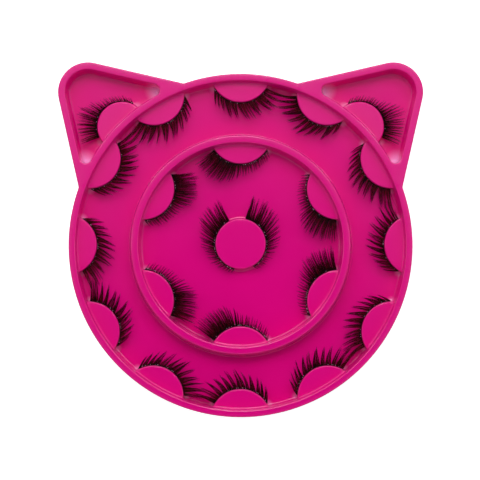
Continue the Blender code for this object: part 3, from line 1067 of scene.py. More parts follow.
class HairPattern:
    """One straight hair of unit length, which every other hair is a copy of."""

    SIDES = 3
    SPANS = 6
    SPAN_POWER = 0.9
    TAPER_POWER = 0.55
    SMALLEST = 1e-9

    def __init__(self) -> None:
        """Draw a tapered cone and cut it into spans."""
        bpy.ops.object.select_all(action="DESELECT")
        bpy.ops.mesh.primitive_cone_add(
            vertices=self.SIDES, radius1=1, radius2=0, depth=1, location=(0, 0, 0.5), end_fill_type="NGON"
        )
        hair = bpy.context.object
        bpy.ops.object.transform_apply(location=True)
        bpy.ops.object.mode_set(mode="EDIT")
        bpy.ops.mesh.select_mode(type="FACE")
        for span in range(1, self.SPANS):
            bpy.ops.mesh.select_all(action="SELECT")
            share = (span / self.SPANS) ** self.SPAN_POWER
            bpy.ops.mesh.bisect(plane_co=(0, 0, share), plane_no=(0, 0, 1), use_fill=False)
        bpy.ops.object.mode_set(mode="OBJECT")
        mesh = hair.data
        self.points = np.array([vert.co for vert in mesh.vertices])
        self.faces = [tuple(face.vertices) for face in mesh.polygons]
        bpy.data.objects.remove(hair)

    def along(self) -> np.ndarray:
        """Share of the length at which each vertex lies."""
        return self.points[:, 2]

    def around(self) -> np.ndarray:
        """Work out how far the vertices stand off the hair's line, for a root of radius one.

        Returns:
            Each vertex's offset across the line, as a complex number.
        """
        out = self.points[:, 0] + 1j * self.points[:, 1]
        size = np.abs(out)
        outwards = np.divide(out, size, out=np.zeros_like(out), where=size > self.SMALLEST)
        return outwards * np.clip(1 - self.points[:, 2], 0, 1) ** self.TAPER_POWER


@dataclass
class MeshHeap:
    """Vertices and faces of a mesh that is put together from many copies.

    Attributes:
        points: Vertices of each copy.
        faces: Faces of each copy.
        tones: Tone of each copy's vertices.
        finishes: Material index of each face.
        count: Number of vertices so far.
    """

    points: list[np.ndarray] = field(default_factory=list)
    faces: list[tuple[int, ...]] = field(default_factory=list)
    tones: list[np.ndarray] = field(default_factory=list)
    finishes: list[int] = field(default_factory=list)
    count: int = 0

    def add(
        self, points: np.ndarray, faces: Sequence[tuple[int, ...]], tone: float | np.ndarray, finish: int
    ) -> None:
        """Add a copy.

        Args:
            points: Its vertices.
            faces: Its faces.
            tone: Tone of its vertices.
            finish: Material index of its faces.
        """
        self.points.append(points)
        self.faces.extend(tuple(self.count + index for index in face) for face in faces)
        self.tones.append(np.broadcast_to(tone, len(points)))
        self.finishes.extend([finish] * len(faces))
        self.count += len(points)

    def mesh(self, name: str) -> bpy.types.Object:
        """Put the copies together as one object.

        Args:
            name: Name of the object.

        Returns:
            The object, linked to the scene.
        """
        data = bpy.data.meshes.new(name)
        data.from_pydata(np.concatenate(self.points).tolist(), [], self.faces)
        tones = data.attributes.new("tone", "FLOAT", "POINT")
        tones.data.foreach_set("value", np.concatenate(self.tones))
        data.polygons.foreach_set("material_index", self.finishes)
        data.update()
        piece = bpy.data.objects.new(name, data)
        bpy.context.scene.collection.objects.link(piece)
        return piece


@dataclass
class LashStrip:
    """A false lash: a knotted cord bent round its boss, and the hairs tied to it.

    Attributes:
        place: Where the strip stands.
        hair: The hair that is copied.
        seed: Start of the strip's own random numbers.
        band_length: Length of the cord.
        band_gap: Distance of the cord's middle from the boss.
        cord_radius: Radius of the cord.
        cord_height: Height of the cord's middle.
        cord_sides: Faces round the cord.
        knot_pitch: Distance from knot to knot.
        knot_rings: Rings of the cord's mesh to a knot.
        knot_swell: Share by which the knots are thicker, and the spread of that.
        cord_tip: Share of its radius at which the cord ends, and the rings up to full size.
        pitch_steps: Places at which the pitch of the tufts is added up.
        tuft_jitter: How far the end of a tuft strays, as a share of the tuft.
        hair_jitter: Where in its share of the tuft a hair is tied.
        fewest_hairs: Fewest hairs of a tuft.
        short_power: How seldom a hair is much shorter than its tuft.
        loose_sizes: Lengths of the hairs outside the tufts, as shares of the tuft's.
        loose_stray: How much more those stray.
        under_sizes: The same lengths of the short hairs at the roots.
        under_stray: How much more these stray.
        under_gather: How far these are drawn together.
        gather_power: How late along a hair it is drawn aside.
        rise: How far the tip of a long hair rises above its root.
        rise_power: How late along a hair it rises.
        rise_sizes: Shares of the rise from hair to hair.
        full_rise_length: Length from which on a hair rises in full.
        root_heights: Heights of the roots from the cord's middle.
        wall_room: Shares of the room up to a wall that hairs take up.
        least_lean: Lean towards a wall below which a hair runs along it.
        thickness_sizes: Shares of the thickness from hair to hair.
        root_tone: Share of its tone that a hair has at its root.
        tip_tone: What it gains up to its tip, towards the crimson of painted bounce light.
        bead_radius: Largest radius of a bead of glue, apart from its share.
        bead_sizes: Shares of the radius from bead to bead.
        bead_spread: Where along the cord the beads lie, as the two powers of their density.
        bead_gap: Distance of a bead from the cord's middle, away from the boss.
        bead_height: The same upwards, as a share of the cord's radius.
        bead_flatness: Height of a bead as a share of its width.
    """

    place: LashPlace
    hair: HairPattern
    seed: int
    band_length: float = 32.0 * MM
    band_gap: float = 0.5 * MM
    cord_radius: float = 0.24 * MM
    cord_height: float = 4.42 * MM
    cord_sides: int = 6
    knot_pitch: float = 0.55 * MM
    knot_rings: int = 4
    knot_swell: tuple[float, float] = (0.22, 0.04)
    cord_tip: tuple[float, float] = (0.25, 3.0)
    pitch_steps: int = 400
    tuft_jitter: float = 0.25
    hair_jitter: tuple[float, float] = (0.1, 0.9)
    fewest_hairs: int = 3
    short_power: float = 1.4
    loose_sizes: tuple[float, float] = (0.7, 1.0)
    loose_stray: float = 4.0
    under_sizes: tuple[float, float] = (0.3, 0.6)
    under_stray: float = 3.0
    under_gather: float = 0.5
    gather_power: float = 1.15
    rise: float = 2.7 * MM
    rise_power: float = 1.7
    rise_sizes: tuple[float, float] = (0.72, 1.22)
    full_rise_length: float = 7 * MM
    root_heights: tuple[float, float] = (-0.12, 0.16)
    wall_room: tuple[float, float] = (0.86, 1.0)
    least_lean: float = 0.01
    thickness_sizes: tuple[float, float] = (0.8, 1.15)
    root_tone: float = 0.5
    tip_tone: float = 0.6
    bead_radius: float = 0.2 * MM
    bead_sizes: tuple[float, float] = (0.6, 1.1)
    bead_spread: tuple[float, float] = (1.2, 1.6)
    bead_gap: float = 0.25 * MM
    bead_height: float = 0.8
    bead_flatness: float = 0.8

    def __post_init__(self) -> None:
        """Work out the band's radius and the angle that it covers."""
        self.style = self.place.style
        self.band_radius = self.place.radius + self.band_gap
        self.half_angle = self.band_length / (2 * self.band_radius)
        self.random = np.random.default_rng(self.seed)

    def root(self, along: float | np.ndarray) -> complex | np.ndarray:
        """Where the hairs at a share along the band are tied."""
        return self.band_radius * unit(self.half_angle * (2 * along - 1))

    def measure(self, values: tuple[float, ...], along: float) -> float:
        """A value of the style at a share along the band."""
        return float(np.interp(along, self.style.stations, values))

    def tuft_ends(self) -> np.ndarray:
        """Share the band out to the tufts.

        Returns:
            Shares along the band at which one tuft ends and the next starts.
        """
        shares = np.linspace(0, 1, self.pitch_steps)
        pitch = np.interp(shares, self.style.stations, self.style.tufts)
        total = np.concatenate(([0], np.cumsum((pitch[1:] + pitch[:-1]) / 2)))
        count = round(total[-1] / (self.pitch_steps - 1) * self.band_length / MM)
        order = np.arange(count + 1)
        jitter = self.random.uniform(-self.tuft_jitter, self.tuft_jitter, count + 1)
        order = order + jitter * (order % count > 0)
        return np.interp(order / count * total[-1], total, shares)

    def run(self, heading: float, length: float, shares: float | np.ndarray) -> complex | np.ndarray:
        """Bend a hair evenly from root to tip.

        Args:
            heading: Its heading, in degrees.
            length: Its length.
            shares: Shares along it.

        Returns:
            Its points at those shares in plan, from its root.
        """
        bend = math.radians(self.style.bend)
        start = math.radians(heading) - bend / 2
        return length * (unit(start + bend * shares) - unit(start)) / (1j * bend)

    def grow_tuft(self, heap: MeshHeap, start: float, end: float) -> None:
        """Grow the hairs of one tuft.

        Args:
            heap: The strip's mesh.
            start: Share along the band at which the tuft starts.
            end: Share at which it ends.
        """
        style, random = self.style, self.random
        middle, width = (start + end) / 2, end - start
        heading = self.measure(style.headings, middle) + random.normal(0, style.sway)
        heading -= self.place.swing * middle**2
        length = self.measure(style.lengths, middle) * MM
        gather = self.measure(style.gathers, middle)
        hairs = self.measure(style.hairs, middle) * width * self.band_length / MM
        count = max(self.fewest_hairs, round(hairs))
        sizes = 1 - style.ragged * random.uniform(0, 2, style.points)
        turns = random.normal(0, style.stray, style.points)
        for order in range(count):
            share = (order + random.uniform(*self.hair_jitter)) / count
            point = int(share * style.points)
            root = self.root(start + share * width)
            between = self.root(start + (point + 0.5) / style.points * width)
            size = sizes[point] * (1 - style.unevenness * random.uniform(0, 1) ** self.short_power)
            turn = turns[point] + random.normal(0, style.stray)
            kind = random.uniform(0, 1)
            darkest = 0.0
            if kind < style.loose:
                size *= random.uniform(*self.loose_sizes)
                turn *= self.loose_stray
                tip = root
            elif kind < style.loose + style.under:
                size *= random.uniform(*self.under_sizes)
                turn *= self.under_stray
                tip = root + self.under_gather * (between - root)
                darkest = style.under_tone
            else:
                tip = between + gather * (self.root(middle) - between)
            self.grow(heap, root, tip - root, heading + turn, length * size, darkest)

    def grow(
        self, heap: MeshHeap, root: complex, shift: complex, heading: float, length: float, darkest: float
    ) -> None:
        """Grow one hair.

        Args:
            heap: The strip's mesh.
            root: Where it is tied.
            shift: How far its tip is drawn aside, towards the others of its tuft.
            heading: Its heading, in degrees.
            length: Its length.
            darkest: The darkest tone that it may have.
        """
        shares = self.hair.along()
        to_wall = unit(-math.radians(self.style.wall_angle))
        room = self.style.wall_reach - ((root + shift) * to_wall).real
        room *= self.random.uniform(*self.wall_room)
        length = min(length, room / max((self.run(heading, 1.0, 1.0) * to_wall).real, self.least_lean))
        line = root + self.run(heading, length, shares) + shift * shares**self.gather_power
        height = self.cord_height + self.random.uniform(*self.root_heights) * MM
        rise = self.rise * self.random.uniform(*self.rise_sizes)
        rise *= min(1.0, length / self.full_rise_length)
        lift = height + rise * shares**self.rise_power
        across = unit(math.radians(heading)) * 1j
        radius = self.style.thickness * self.random.uniform(*self.thickness_sizes)
        out = self.hair.around() * unit(self.random.uniform(0, math.tau)) * radius
        points = lifted(line + across * out.real, lift + out.imag)
        # Tips take higher tones, which the fibre turns crimson: painted pink light through the thin tips.
        fading = self.root_tone + self.tip_tone * np.maximum(shares, darkest)
        heap.add(points, self.hair.faces, self.random.uniform(darkest, 1) * fading, 0)

    def wind_cord(self, heap: MeshHeap) -> None:
        """Wind the knotted cord that carries the hairs.

        Args:
            heap: The strip's mesh.
        """
        sides = self.cord_sides
        count = round(self.band_length / self.knot_pitch) * self.knot_rings
        shares = np.linspace(0, 1, count + 1)
        swell, spread = self.knot_swell
        knots = 1 + swell * np.cos(np.arange(count + 1) * math.tau / self.knot_rings)
        knots += self.random.normal(0, spread, count + 1)
        tip, tip_rings = self.cord_tip
        ends = np.clip(np.minimum(shares, 1 - shares) * count / tip_rings, tip, 1)
        angles = np.arange(sides) * math.tau / sides
        points = []
        for centre, size in zip(self.root(shares), self.cord_radius * knots * ends):
            plan = centre + centre / abs(centre) * size * np.cos(angles)
            points.append(lifted(plan, self.cord_height + size * np.sin(angles)))
        faces = []
        for ring in range(count):
            for side in range(sides):
                near, far = ring * sides + side, ring * sides + (side + 1) % sides
                faces.append((near, far, far + sides, near + sides))
        faces.append(tuple(reversed(range(sides))))
        faces.append(tuple(range(count * sides, (count + 1) * sides)))
        heap.add(np.concatenate(points), [face[::-1] for face in faces], 0.0, 0)

    def add_beads(self, heap: MeshHeap) -> None:
        """Set beads of dried glue between the roots, painted whitish for their glints.

        Args:
            heap: The strip's mesh.
        """
        poles = [(0, 0, self.bead_flatness), (0, 0, -self.bead_flatness)]
        corners = np.vstack((lifted(unit(np.arange(4) * math.pi / 2), 0.0), poles))
        upper = [(side, (side + 1) % 4, 4) for side in range(4)]
        lower = [((side + 1) % 4, side, 5) for side in range(4)]
        height = self.cord_height + self.cord_radius * self.bead_height
        for _ in range(self.style.beads):
            along = self.random.beta(*self.bead_spread)
            centre = self.root(along) * (1 + self.bead_gap / self.band_radius)
            size = self.bead_radius * self.random.uniform(*self.bead_sizes)
            # The beads are real glue; their whitish colour is a painted glint.
            heap.add(size * corners + (centre.real, centre.imag, height), upper + lower, 1.0, 1)

    def build(self) -> bpy.types.Object:
        """Model the strip and stand it on its boss.

        Returns:
            The finished object.
        """
        heap = MeshHeap()
        self.wind_cord(heap)
        ends = self.tuft_ends().tolist()
        for start, end in zip(ends, ends[1:]):
            self.grow_tuft(heap, start, end)
        self.add_beads(heap)
        piece = heap.mesh(self.place.name + "_strip")
        self.stand(piece.data)
        return piece

    def stand(self, mesh: bpy.types.Mesh) -> None:
        """Turn the strip to its side, and move it to its boss.

        Args:
            mesh: The strip's mesh.
        """
        points = np.zeros(len(mesh.vertices) * 3)
        mesh.vertices.foreach_get("co", points)
        points = points.reshape(-1, 3)
        plan = points[:, 0] + 1j * points[:, 1] * self.place.long_end.value
        plan = plan * unit(self.place.middle) + self.place.centre
        mesh.vertices.foreach_set("co", lifted(plan, points[:, 2]).ravel())
        if self.place.long_end is LongEnd.CLOCKWISE:
            mesh.flip_normals()
        mesh.shade_smooth()
        mesh.update()


@dataclass
class LashSet:
    """Every strip on the tray, each on its own boss.

    Attributes:
        tray: The tray that carries them.
        outer_forward: Hours of the outer strips whose long ends lie anticlockwise.
        inner_forward: The same of the inner strips.
        swings: How far the inner strips at some hours are combed back, in degrees.
        middle_angles: Where the right and the left strip lie round the middle boss.
        first_seed: Seed of the first strip.
    """

    tray: Tray
    outer_forward: tuple[int, ...] = (2, 4, 6, 8, 10, 12)
    inner_forward: tuple[int, ...] = (2, 6, 10)
    swings: tuple[tuple[int, float], ...] = ((10, 14.0),)
    middle_angles: tuple[float, float] = (math.radians(9), math.radians(186))
    first_seed: int = 11

    def row(
        self, name: str, row: BossRow, style: LashStyle, forward: tuple[int, ...]
    ) -> Iterator[LashPlace]:
        """Name the strips of a row by the hours of a clock.

        Args:
            name: Start of their names.
            row: The bosses that carry them.
            style: How their hairs run.
            forward: Hours of those whose long ends lie anticlockwise.

        Yields:
            Where each strip stands.
        """
        swings = dict(self.swings) if row is self.tray.inner else {}
        for angle in row.angles:
            hour = round((math.pi / 2 - angle) / (math.tau / 12)) % 12 or 12
            end = LongEnd.ANTICLOCKWISE if hour in forward else LongEnd.CLOCKWISE
            centre = self.tray.centre + row.reach * unit(angle)
            swing = swings.get(hour, 0.0)
            yield LashPlace(
                f"{name}_{hour}_oclock", style, centre, row.radius, angle + math.pi, end, swing
            )

    def places(self) -> Iterator[LashPlace]:
        """Say where every strip stands, and which way it lies.

        Yields:
            Each strip's place.
        """
        tray = self.tray
        yield from self.row("outer_lash", tray.outer, OUTER_STYLE, self.outer_forward)
        yield from self.row("inner_lash", tray.inner, INNER_STYLE, self.inner_forward)
        back, forward = LongEnd.CLOCKWISE, LongEnd.ANTICLOCKWISE
        for side, angle, end in zip(("right", "left"), tray.ear_angles, (back, forward)):
            centre = tray.centre + tray.ear_boss_reach * unit(angle)
            yield LashPlace(f"ear_lash_{side}", EAR_STYLE, centre, tray.ear_boss_radius, angle, end)
        centre, radius = tray.middle_place, tray.middle_boss_radius
        for side, angle, end in zip(("right", "left"), self.middle_angles, (forward, back)):
            yield LashPlace(f"middle_lash_{side}", MIDDLE_STYLE, centre, radius, angle, end)

    def build(self) -> list[tuple[LashPlace, bpy.types.Object]]:
        """Model every strip.

        Returns:
            Each strip's place and its finished object.
        """
        hair = HairPattern()
        strips = []
        for seed, place in enumerate(self.places(), self.first_seed):
            strips.append((place, LashStrip(place, hair, seed).build()))
        return strips


# Finishes


@dataclass(frozen=True)
class Mottle:
    """Cloudy noise on a piece's own coordinates.

    Attributes:
        scale: Features to a metre.
        detail: How many finer layers it has.
        roughness: How strong those are.
    """

    scale: float
    detail: float = 2.0
    roughness: float = 0.5


@dataclass(frozen=True)
class Socket:
    """An output socket that can be used in sums and products.

    Attributes:
        graph: The graph that it belongs to.
        output: The socket itself, or none where the node has no output.
    """

    graph: "NodeGraph"
    output: bpy.types.NodeSocket | None

    def __add__(self, other: "Socket | float") -> "Socket":
        """Sum of the two."""
        return self.graph.maths("ADD", self, other)

    def __radd__(self, other: float) -> "Socket":
        """Sum of the two."""
        return self.graph.maths("ADD", other, self)

    def __sub__(self, other: "Socket | float") -> "Socket":
        """Difference of the two."""
        return self.graph.maths("SUBTRACT", self, other)

    def __rsub__(self, other: float) -> "Socket":
        """Difference of the two."""
        return self.graph.maths("SUBTRACT", other, self)

    def __mul__(self, other: "Socket | float") -> "Socket":
        """Product of the two."""
        return self.graph.maths("MULTIPLY", self, other)

    def __rmul__(self, other: float) -> "Socket":
        """Product of the two."""
        return self.graph.maths("MULTIPLY", other, self)


@dataclass
class NodeGraph:
    """Adds nodes to one node tree and joins them up.

    Attributes:
        tree: The node tree.
    """

    tree: bpy.types.NodeTree

    def node(
        self, kind: str, settings: dict | None = None, inputs: dict | None = None, output: int | str = 0
    ) -> Socket:
        """Add a node.

        Args:
            kind: The node's type, without the name of its family.
            settings: Its settings, which are set first. Stops of a ramp are pairs.
            inputs: Values or sockets for its inputs.
            output: Which output is given back.

        Returns:
            That output.
        """
        made = self.tree.nodes.new("ShaderNode" + kind)
        for name, value in (settings or {}).items():
            if name == "stops":
                self._set_stops(made.color_ramp, value)
            else:
                setattr(made, name, value)
        for name, value in (inputs or {}).items():
            if isinstance(value, Socket):
                self.tree.links.new(value.output, made.inputs[name])
            else:
                made.inputs[name].default_value = value
        return Socket(self, made.outputs[output] if len(made.outputs) else None)

    def _set_stops(self, ramp: bpy.types.ColorRamp, stops: Sequence[tuple[float, Colour]]) -> None:
        """Give a ramp its stops.

        Args:
            ramp: The ramp.
            stops: Position and colour of each.
        """
        while len(ramp.elements) < len(stops):
            ramp.elements.new(0.5)
        for element, (position, colour) in zip(ramp.elements, stops):
            element.position = position
            element.color = colour

    def noise(self, mottle: Mottle) -> Socket:
        """Add noise on the piece's own coordinates.

        Args:
            mottle: What it looks like.

        Returns:
            A value from 0 to 1.
        """
        inputs = {"Scale": mottle.scale, "Detail": mottle.detail, "Roughness": mottle.roughness}
        inputs["Vector"] = self.node("TexCoord", output="Object")
        return self.node("TexNoise", {}, inputs, "Fac")

    def axes(self, vector: Socket) -> tuple[Socket, Socket, Socket]:
        """Part a vector into X, Y and Z."""
        parts = self.node("SeparateXYZ", {}, {0: vector}).output.node.outputs
        return Socket(self, parts[0]), Socket(self, parts[1]), Socket(self, parts[2])

    def maths(self, operation: str, first: "Socket | float", second: "Socket | float" = 0.0) -> Socket:
        """An operation on one or two values."""
        return self.node("Math", {"operation": operation}, {0: first, 1: second})

    def step(self, value: Socket, limits: tuple[float, float], levels: tuple[float, float]) -> Socket:
        """A smooth step from one level to another as a value passes between two limits."""
        inputs = dict(zip(("Value", "From Min", "From Max", "To Min", "To Max"), (value, *limits, *levels)))
        return self.node("MapRange", {"interpolation_type": "SMOOTHSTEP"}, inputs)

    def blend(self, share: Socket, low: "Socket | Colour", high: "Socket | Colour") -> Socket:
        """Blend two colours by a share."""
        return self.node("Mix", {"data_type": "RGBA"}, {0: share, 6: low, 7: high}, 2)

    def show(self, surface: Socket, kind: str = "Material") -> None:
        """Show a surface as the material's, or as another kind of output's."""
        self.node("Output" + kind, {}, {"Surface": surface})


def empty_graph(owner: bpy.types.Material | bpy.types.World) -> NodeGraph:
    """Give a material or a world an empty graph.

    Args:
        owner: The material or world.

    Returns:
        Its graph.
    """
    owner.use_nodes = True
    owner.node_tree.nodes.clear()
    return NodeGraph(owner.node_tree)


@dataclass(frozen=True)
class PinkPlastic:
    """Glossy moulded plastic, dyed deep pink.

    Attributes:
        tray: The tray, whose heights and corners the finish follows.
        deep: Colour where the dye is strongest.
        bright: Colour where it is weakest.
        glint_colour: Colour of the glints painted into the corners at the feet of the walls.
        clouds: Slow change of the dye and the gloss.
        waves: Flow marks.
        grain: Fine grain.
        relief: Shares of the waves and the grain in the relief.
        bump: Strength and distance of the relief.
        roughness: Roughness where it is least.
        rougher: What the clouds and the grain add to that.
        specular: Strength of the reflections.
        coats: Gloss coat in the pockets and higher up.
        coat_heights: Heights between which the coat changes.
        foot_coat: Extra coat at the foot of a wall.
        foot_starts: Heights above the floor between which that starts.
        foot_ends: Heights above the floor between which it ends.
        edge_coat: Extra coat on the rims' edges.
        edge_starts: Heights from the rims between which that starts.
        edge_ends: Heights from the rims between which it ends.
        coat_roughness: Roughness of the coat.
    """

    tray: Tray
    deep: Colour = (0.865, 0.0006, 0.228, 1.0)
    bright: Colour = (0.895, 0.0010, 0.242, 1.0)
    glint_colour: Colour = (1.0, 0.36, 0.70, 1.0)
    clouds: Mottle = Mottle(38, 3)
    waves: Mottle = Mottle(110, roughness=0.4)
    grain: Mottle = Mottle(2600)
    relief: tuple[float, float] = (0.9, 0.1)
    bump: tuple[float, float] = (0.1, 0.6 * MM)
    roughness: float = 0.07
    rougher: tuple[float, float] = (0.06, 0.03)
    specular: float = 0.3
    coats: tuple[float, float] = (0.05, 0.5)
    coat_heights: tuple[float, float] = (2.0 * MM, 4.6 * MM)
    foot_coat: float = 0.9
    foot_starts: tuple[float, float] = (0.01 * MM, 0.06 * MM)
    foot_ends: tuple[float, float] = (0.5 * MM, 1.2 * MM)
    edge_coat: float = 0.5
    edge_starts: tuple[float, float] = (-1.0 * MM, -0.5 * MM)
    edge_ends: tuple[float, float] = (-0.03 * MM, -0.005 * MM)
    coat_roughness: float = 0.1

    def painted_glint(self, graph: NodeGraph, across: Socket, up: Socket, height: Socket) -> Socket:
        """Work out where glints are painted into the sheet's colour, in the corners at the feet of its
        walls.

        Args:
            graph: The material's graph.
            across: The piece's own X.
            up: Its own Y.
            height: Its own Z.

        Returns:
            A share from none to all of the painted glint colour.
        """
        across = graph.maths("ABSOLUTE", across)
        up = up - self.tray.centre.imag
        reach = graph.maths("SQRT", across * across + up * up)
        angle = graph.maths("ARCTAN2", up, across)
        shares = []
        for glint in self.tray.glint_spots():
            radius, half = cmath.polar(glint.spot)
            along = graph.maths("PINGPONG", angle - glint.turn, glint.pitch) * radius
            unrolled = graph.node("CombineXYZ", {}, {0: reach, 1: along, 2: height})
            middle = (radius, abs(half) * radius, self.tray.top_skin().floor)
            away = graph.node("VectorMath", {"operation": "DISTANCE"}, {0: unrolled, 1: middle}, "Value")
            shares.append(graph.step(away, glint.fade, (glint.share, 0.0)))
        return sum(shares)

    def coat(self, graph: NodeGraph, height: Socket) -> Socket:
        """Weigh the gloss coat, with more of it at the feet of walls and on the rims' edges.

        Args:
            graph: The material's graph.
            height: Height on the piece.

        Returns:
            The weight.
        """
        top = self.tray.top_skin()
        weight = graph.step(height, self.coat_heights, self.coats)
        feet = (top.floor, self.foot_coat, self.foot_starts, self.foot_ends)
        edges = (top.rim, self.edge_coat, self.edge_starts, self.edge_ends)
        for level, gain, *bands in (feet, edges):
            limits = ((level + low, level + high) for low, high in bands)
            start, end = (graph.step(height, limit, (0.0, gain)) for limit in limits)
            weight = weight + start - end
        return weight

    def material(self) -> bpy.types.Material:
        """Make the material, with flow marks, a fine grain, an uneven gloss, glossier edges and painted
        glints in the corners.

        Returns:
            The material.
        """
        material = bpy.data.materials.new("pink_moulded_plastic")
        graph = empty_graph(material)
        clouds, grain, waves = graph.noise(self.clouds), graph.noise(self.grain), graph.noise(self.waves)
        relief = waves * self.relief[0] + grain * self.relief[1]
        across, up, height = graph.axes(graph.node("TexCoord", output="Object"))
        dye = graph.blend(clouds, self.deep, self.bright)
        bump = {"Strength": self.bump[0], "Distance": self.bump[1], "Height": relief}
        inputs = {
            # The glint colour blended in here is a painted highlight in the walls' corners.
            "Base Color": graph.blend(self.painted_glint(graph, across, up, height), dye, self.glint_colour),
            "Roughness": clouds * self.rougher[0] + grain * self.rougher[1] + self.roughness,
            "Normal": graph.node("Bump", {}, bump),
            "Specular IOR Level": self.specular,
            "Coat Weight": self.coat(graph, height),
            "Coat Roughness": self.coat_roughness,
        }
        graph.show(graph.node("BsdfPrincipled", {}, inputs))
        return material


@dataclass(frozen=True)
class LashFibre:
    """Fine synthetic hair, near black, with painted pink bounce light and painted glints in its lighter
    strands.

    Attributes:
        tones: Colours by tone, from the darkest hair to the lightest tip; the crimson ones are painted pink
            bounce light, the palest a painted glint.
        mottle: Change of the tone along the hairs.
        uneven: Size of that change.
        roughness: Roughness of the darkest hairs.
        rougher: What the lightest gain.
        specular: Strength of the reflections.
    """

    # Near black is the fibre's own colour; the crimson stops are painted bounce light from the pink tray,
    # the last stop a painted glint.
    tones: tuple[tuple[float, Colour], ...] = (
        (0.0, (0.004, 0.0006, 0.002, 1.0)),
        (0.4, (0.010, 0.0008, 0.002, 1.0)),
        (0.7, (0.17, 0.0010, 0.012, 1.0)),
        (0.94, (0.28, 0.0025, 0.032, 1.0)),
        (0.985, (0.45, 0.09, 0.24, 1.0)),
    )
    mottle: Mottle = Mottle(900)
    uneven: float = 0.1
    roughness: float = 0.4
    rougher: float = 0.2
    specular: float = 0.08

    def material(self) -> bpy.types.Material:
        """Make the material, whose colour and gloss differ from hair to hair.

        Returns:
            The material.
        """
        material = bpy.data.materials.new("lash_fibre")
        graph = empty_graph(material)
        tone = graph.node("Attribute", {"attribute_name": "tone"}, output="Fac")
        uneven = tone + graph.noise(self.mottle) * self.uneven - self.uneven / 2
        inputs = {
            "Base Color": graph.node("ValToRGB", {"stops": self.tones}, {"Fac": uneven}),
            "Roughness": tone * self.rougher + self.roughness,
            "Specular IOR Level": self.specular,
        }
        graph.show(graph.node("BsdfPrincipled", {}, inputs))
        return material


@dataclass(frozen=True)
class GlueWithGlint:
    """Small beads of dried lash glue, whose whitish colour is partly a painted glint.

    Attributes:
        colour: Colour of the palest glue, whitish as a painted glint.
        shade: Colour of the deepest.
        clouds: Change from the one to the other.
        roughness: Roughness of its surface.
    """

    colour: Colour = (0.90, 0.62, 0.76, 1.0)
    shade: Colour = (0.74, 0.42, 0.56, 1.0)
    clouds: Mottle = Mottle(1800)
    roughness: float = 0.25

    def material(self) -> bpy.types.Material:
        """Make the material, cloudy and shiny.

        Returns:
            The material.
        """
        material = bpy.data.materials.new("glue_with_painted_glint")
        graph = empty_graph(material)
        colour = graph.blend(graph.noise(self.clouds), self.shade, self.colour)
        inputs = {"Base Color": colour, "Roughness": self.roughness}
        graph.show(graph.node("BsdfPrincipled", {}, inputs))
        return material


# Studio


@dataclass(frozen=True)
class Softbox:
    """A large soft lamp that looks at the tray.

    Attributes:
        name: Name of the lamp.
        place: Where it stands.
        size: Its width and height.
        power: Its power in watts.
        tint: Colour of its light.
    """

    name: str
    place: tuple[float, float, float]
    size: tuple[float, float]
    power: float
    tint: tuple[float, float, float] = COOL_WHITE

    def build(self) -> None:
        """Hang the lamp."""
        light = bpy.data.lights.new(self.name, "AREA")
        light.shape = "RECTANGLE"
        light.size, light.size_y = self.size
        light.energy = self.power
        light.color = self.tint
        lamp = bpy.data.objects.new(self.name, light)
        lamp.location = self.place
        lamp.rotation_euler = (-Vector(self.place)).to_track_quat("-Z", "Y").to_euler()
        bpy.context.scene.collection.objects.link(lamp)


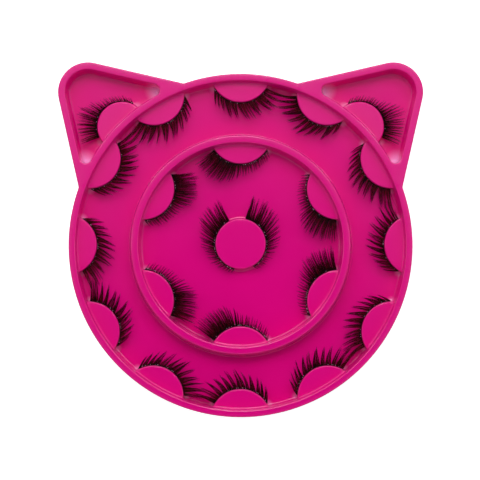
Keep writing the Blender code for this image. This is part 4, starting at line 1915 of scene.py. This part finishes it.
@dataclass(frozen=True)
class Studio:
    """The pale floor, the lamps, the world and the camera.

    Attributes:
        lamps: The lamps.
        dome: Brightness of the world by angle from straight up, in degrees.
        floor_size: Width of the floor.
        floor_gap: Distance of the floor below the tray, so that their faces don't meet.
        floor_colour: Colour of the floor.
        floor_lift: Light that the floor gives to the camera.
        mirror_lift: Light that it gives to reflections.
        camera_place: Where the camera stands.
        camera_aim: What it looks at.
        lens: Its focal length, in millimetres.
    """

    lamps: tuple[Softbox, ...] = (
        Softbox("key_softbox", (0.0, 1.35, 1.15), (1.4, 0.9), 5.8),
        Softbox("high_softbox", (0.0, 1.0, 1.38), (1.6, 0.5), 2.5),
        Softbox("top_softbox", (0.0, 0.63, 1.47), (1.6, 0.5), 3.2),
        Softbox("bright_spot", (0.0, 0.75, 1.42), (0.3, 0.3), 2.2),
        Softbox("left_spot", (-0.85, 0.85, 1.25), (0.25, 0.25), 1.2),
        Softbox("right_spot", (0.85, 0.85, 1.25), (0.25, 0.25), 1.2),
        Softbox("left_softbox", (-1.35, 0.2, 1.1), (0.35, 0.6), 0.9),
        Softbox("right_softbox", (1.35, 0.2, 1.1), (0.35, 0.6), 0.9),
    )
    dome: tuple[tuple[float, float], ...] = (
        (0.0, 0.0),
        (4.5, 0.03),
        (7.2, 0.36),
        (9.5, 0.6),
        (12.0, 0.75),
        (17.0, 0.3),
        (32.0, 0.2),
        (45.0, 0.28),
        (60.0, 0.38),
        (90.0, 0.52),
    )
    floor_size: float = 6.0
    floor_gap: float = 0.1 * MM
    floor_colour: Colour = (0.8, 0.8, 0.8, 1.0)
    floor_lift: float = 0.85
    mirror_lift: float = 0.4
    camera_place: tuple[float, float, float] = (-0.0003, -0.0538, 0.809)
    camera_aim: tuple[float, float, float] = (-0.0003, -0.0008, 0.009)
    lens: float = 120.4

    def light_world(self) -> None:
        """Light the world like a dome, with a bright ring round a dark camera stand overhead."""
        world = bpy.data.worlds.new("studio")
        graph = empty_graph(world)
        height = graph.axes(graph.node("TexCoord", output="Generated"))[2]
        off_zenith = graph.maths("ARCCOSINE", height) * (2 / math.pi)
        stops = [(angle / 90, (level, level, level, 1.0)) for angle, level in self.dome]
        level = graph.node("ValToRGB", {"stops": stops}, {"Fac": off_zenith})
        sky = graph.node("Background", {}, {"Color": (*COOL_WHITE, 1.0), "Strength": level})
        graph.show(sky, "World")
        bpy.context.scene.world = world

    def floor_material(self) -> bpy.types.Material:
        """Make a white floor, lifted where it is seen so that only the tray's shadow shows.

        Returns:
            The material.
        """
        material = bpy.data.materials.new("white_floor")
        graph = empty_graph(material)
        seen = graph.node("LightPath", output="Is Camera Ray")
        mirrored = graph.node("LightPath", output="Is Glossy Ray")
        paint = graph.node("BsdfDiffuse", {}, {"Color": self.floor_colour})
        strength = seen * self.floor_lift + mirrored * self.mirror_lift
        lift = graph.node("Emission", {}, {"Strength": strength})
        graph.show(graph.node("AddShader", {}, {0: paint, 1: lift}))
        return material

    def lay_floor(self) -> None:
        """Lay the floor under the tray."""
        bpy.ops.object.select_all(action="DESELECT")
        bpy.ops.mesh.primitive_plane_add(size=self.floor_size, location=(0, 0, -self.floor_gap))
        floor = bpy.context.object
        floor.name = "floor"
        floor.data.materials.append(self.floor_material())
        floor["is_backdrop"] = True

    def stand_camera(self) -> None:
        """Stand the camera above the tray."""
        camera = bpy.data.objects.new("camera", bpy.data.cameras.new("camera"))
        camera.data.lens = self.lens
        camera.location = self.camera_place
        sight = Vector(self.camera_aim) - Vector(self.camera_place)
        camera.rotation_euler = sight.to_track_quat("-Z", "Y").to_euler()
        bpy.context.scene.collection.objects.link(camera)
        bpy.context.scene.camera = camera

    def build(self) -> None:
        """Set up the whole studio."""
        self.light_world()
        self.lay_floor()
        for lamp in self.lamps:
            lamp.build()
        self.stand_camera()
        bpy.context.scene.view_settings.view_transform = "Standard"


# Scene


def corners() -> list[list[float]]:
    """Lowest and highest corner of what is shown, as plain lists."""
    return [list(corner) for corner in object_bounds()]


def main() -> None:
    """Dress the frame and report each piece."""
    logging.basicConfig(level=logging.INFO, format="%(name)s: %(message)s")
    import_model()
    Studio().build()
    tray = Tray()
    shell = tray.build()
    shell.data.materials.append(PinkPlastic(tray).material())
    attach(shell, "tray")
    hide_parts("tray")
    LOG.info("%s: %d faces", shell.name, len(shell.data.polygons))
    fibre = LashFibre().material()
    glue = GlueWithGlint().material()
    for place, strip in LashSet(tray).build():
        strip.data.materials.append(fibre)
        strip.data.materials.append(glue)
        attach(strip, place.name)
        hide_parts(place.name)
        LOG.info("%s: %d faces", strip.name, len(strip.data.polygons))


if __name__ == "__main__":
    main()
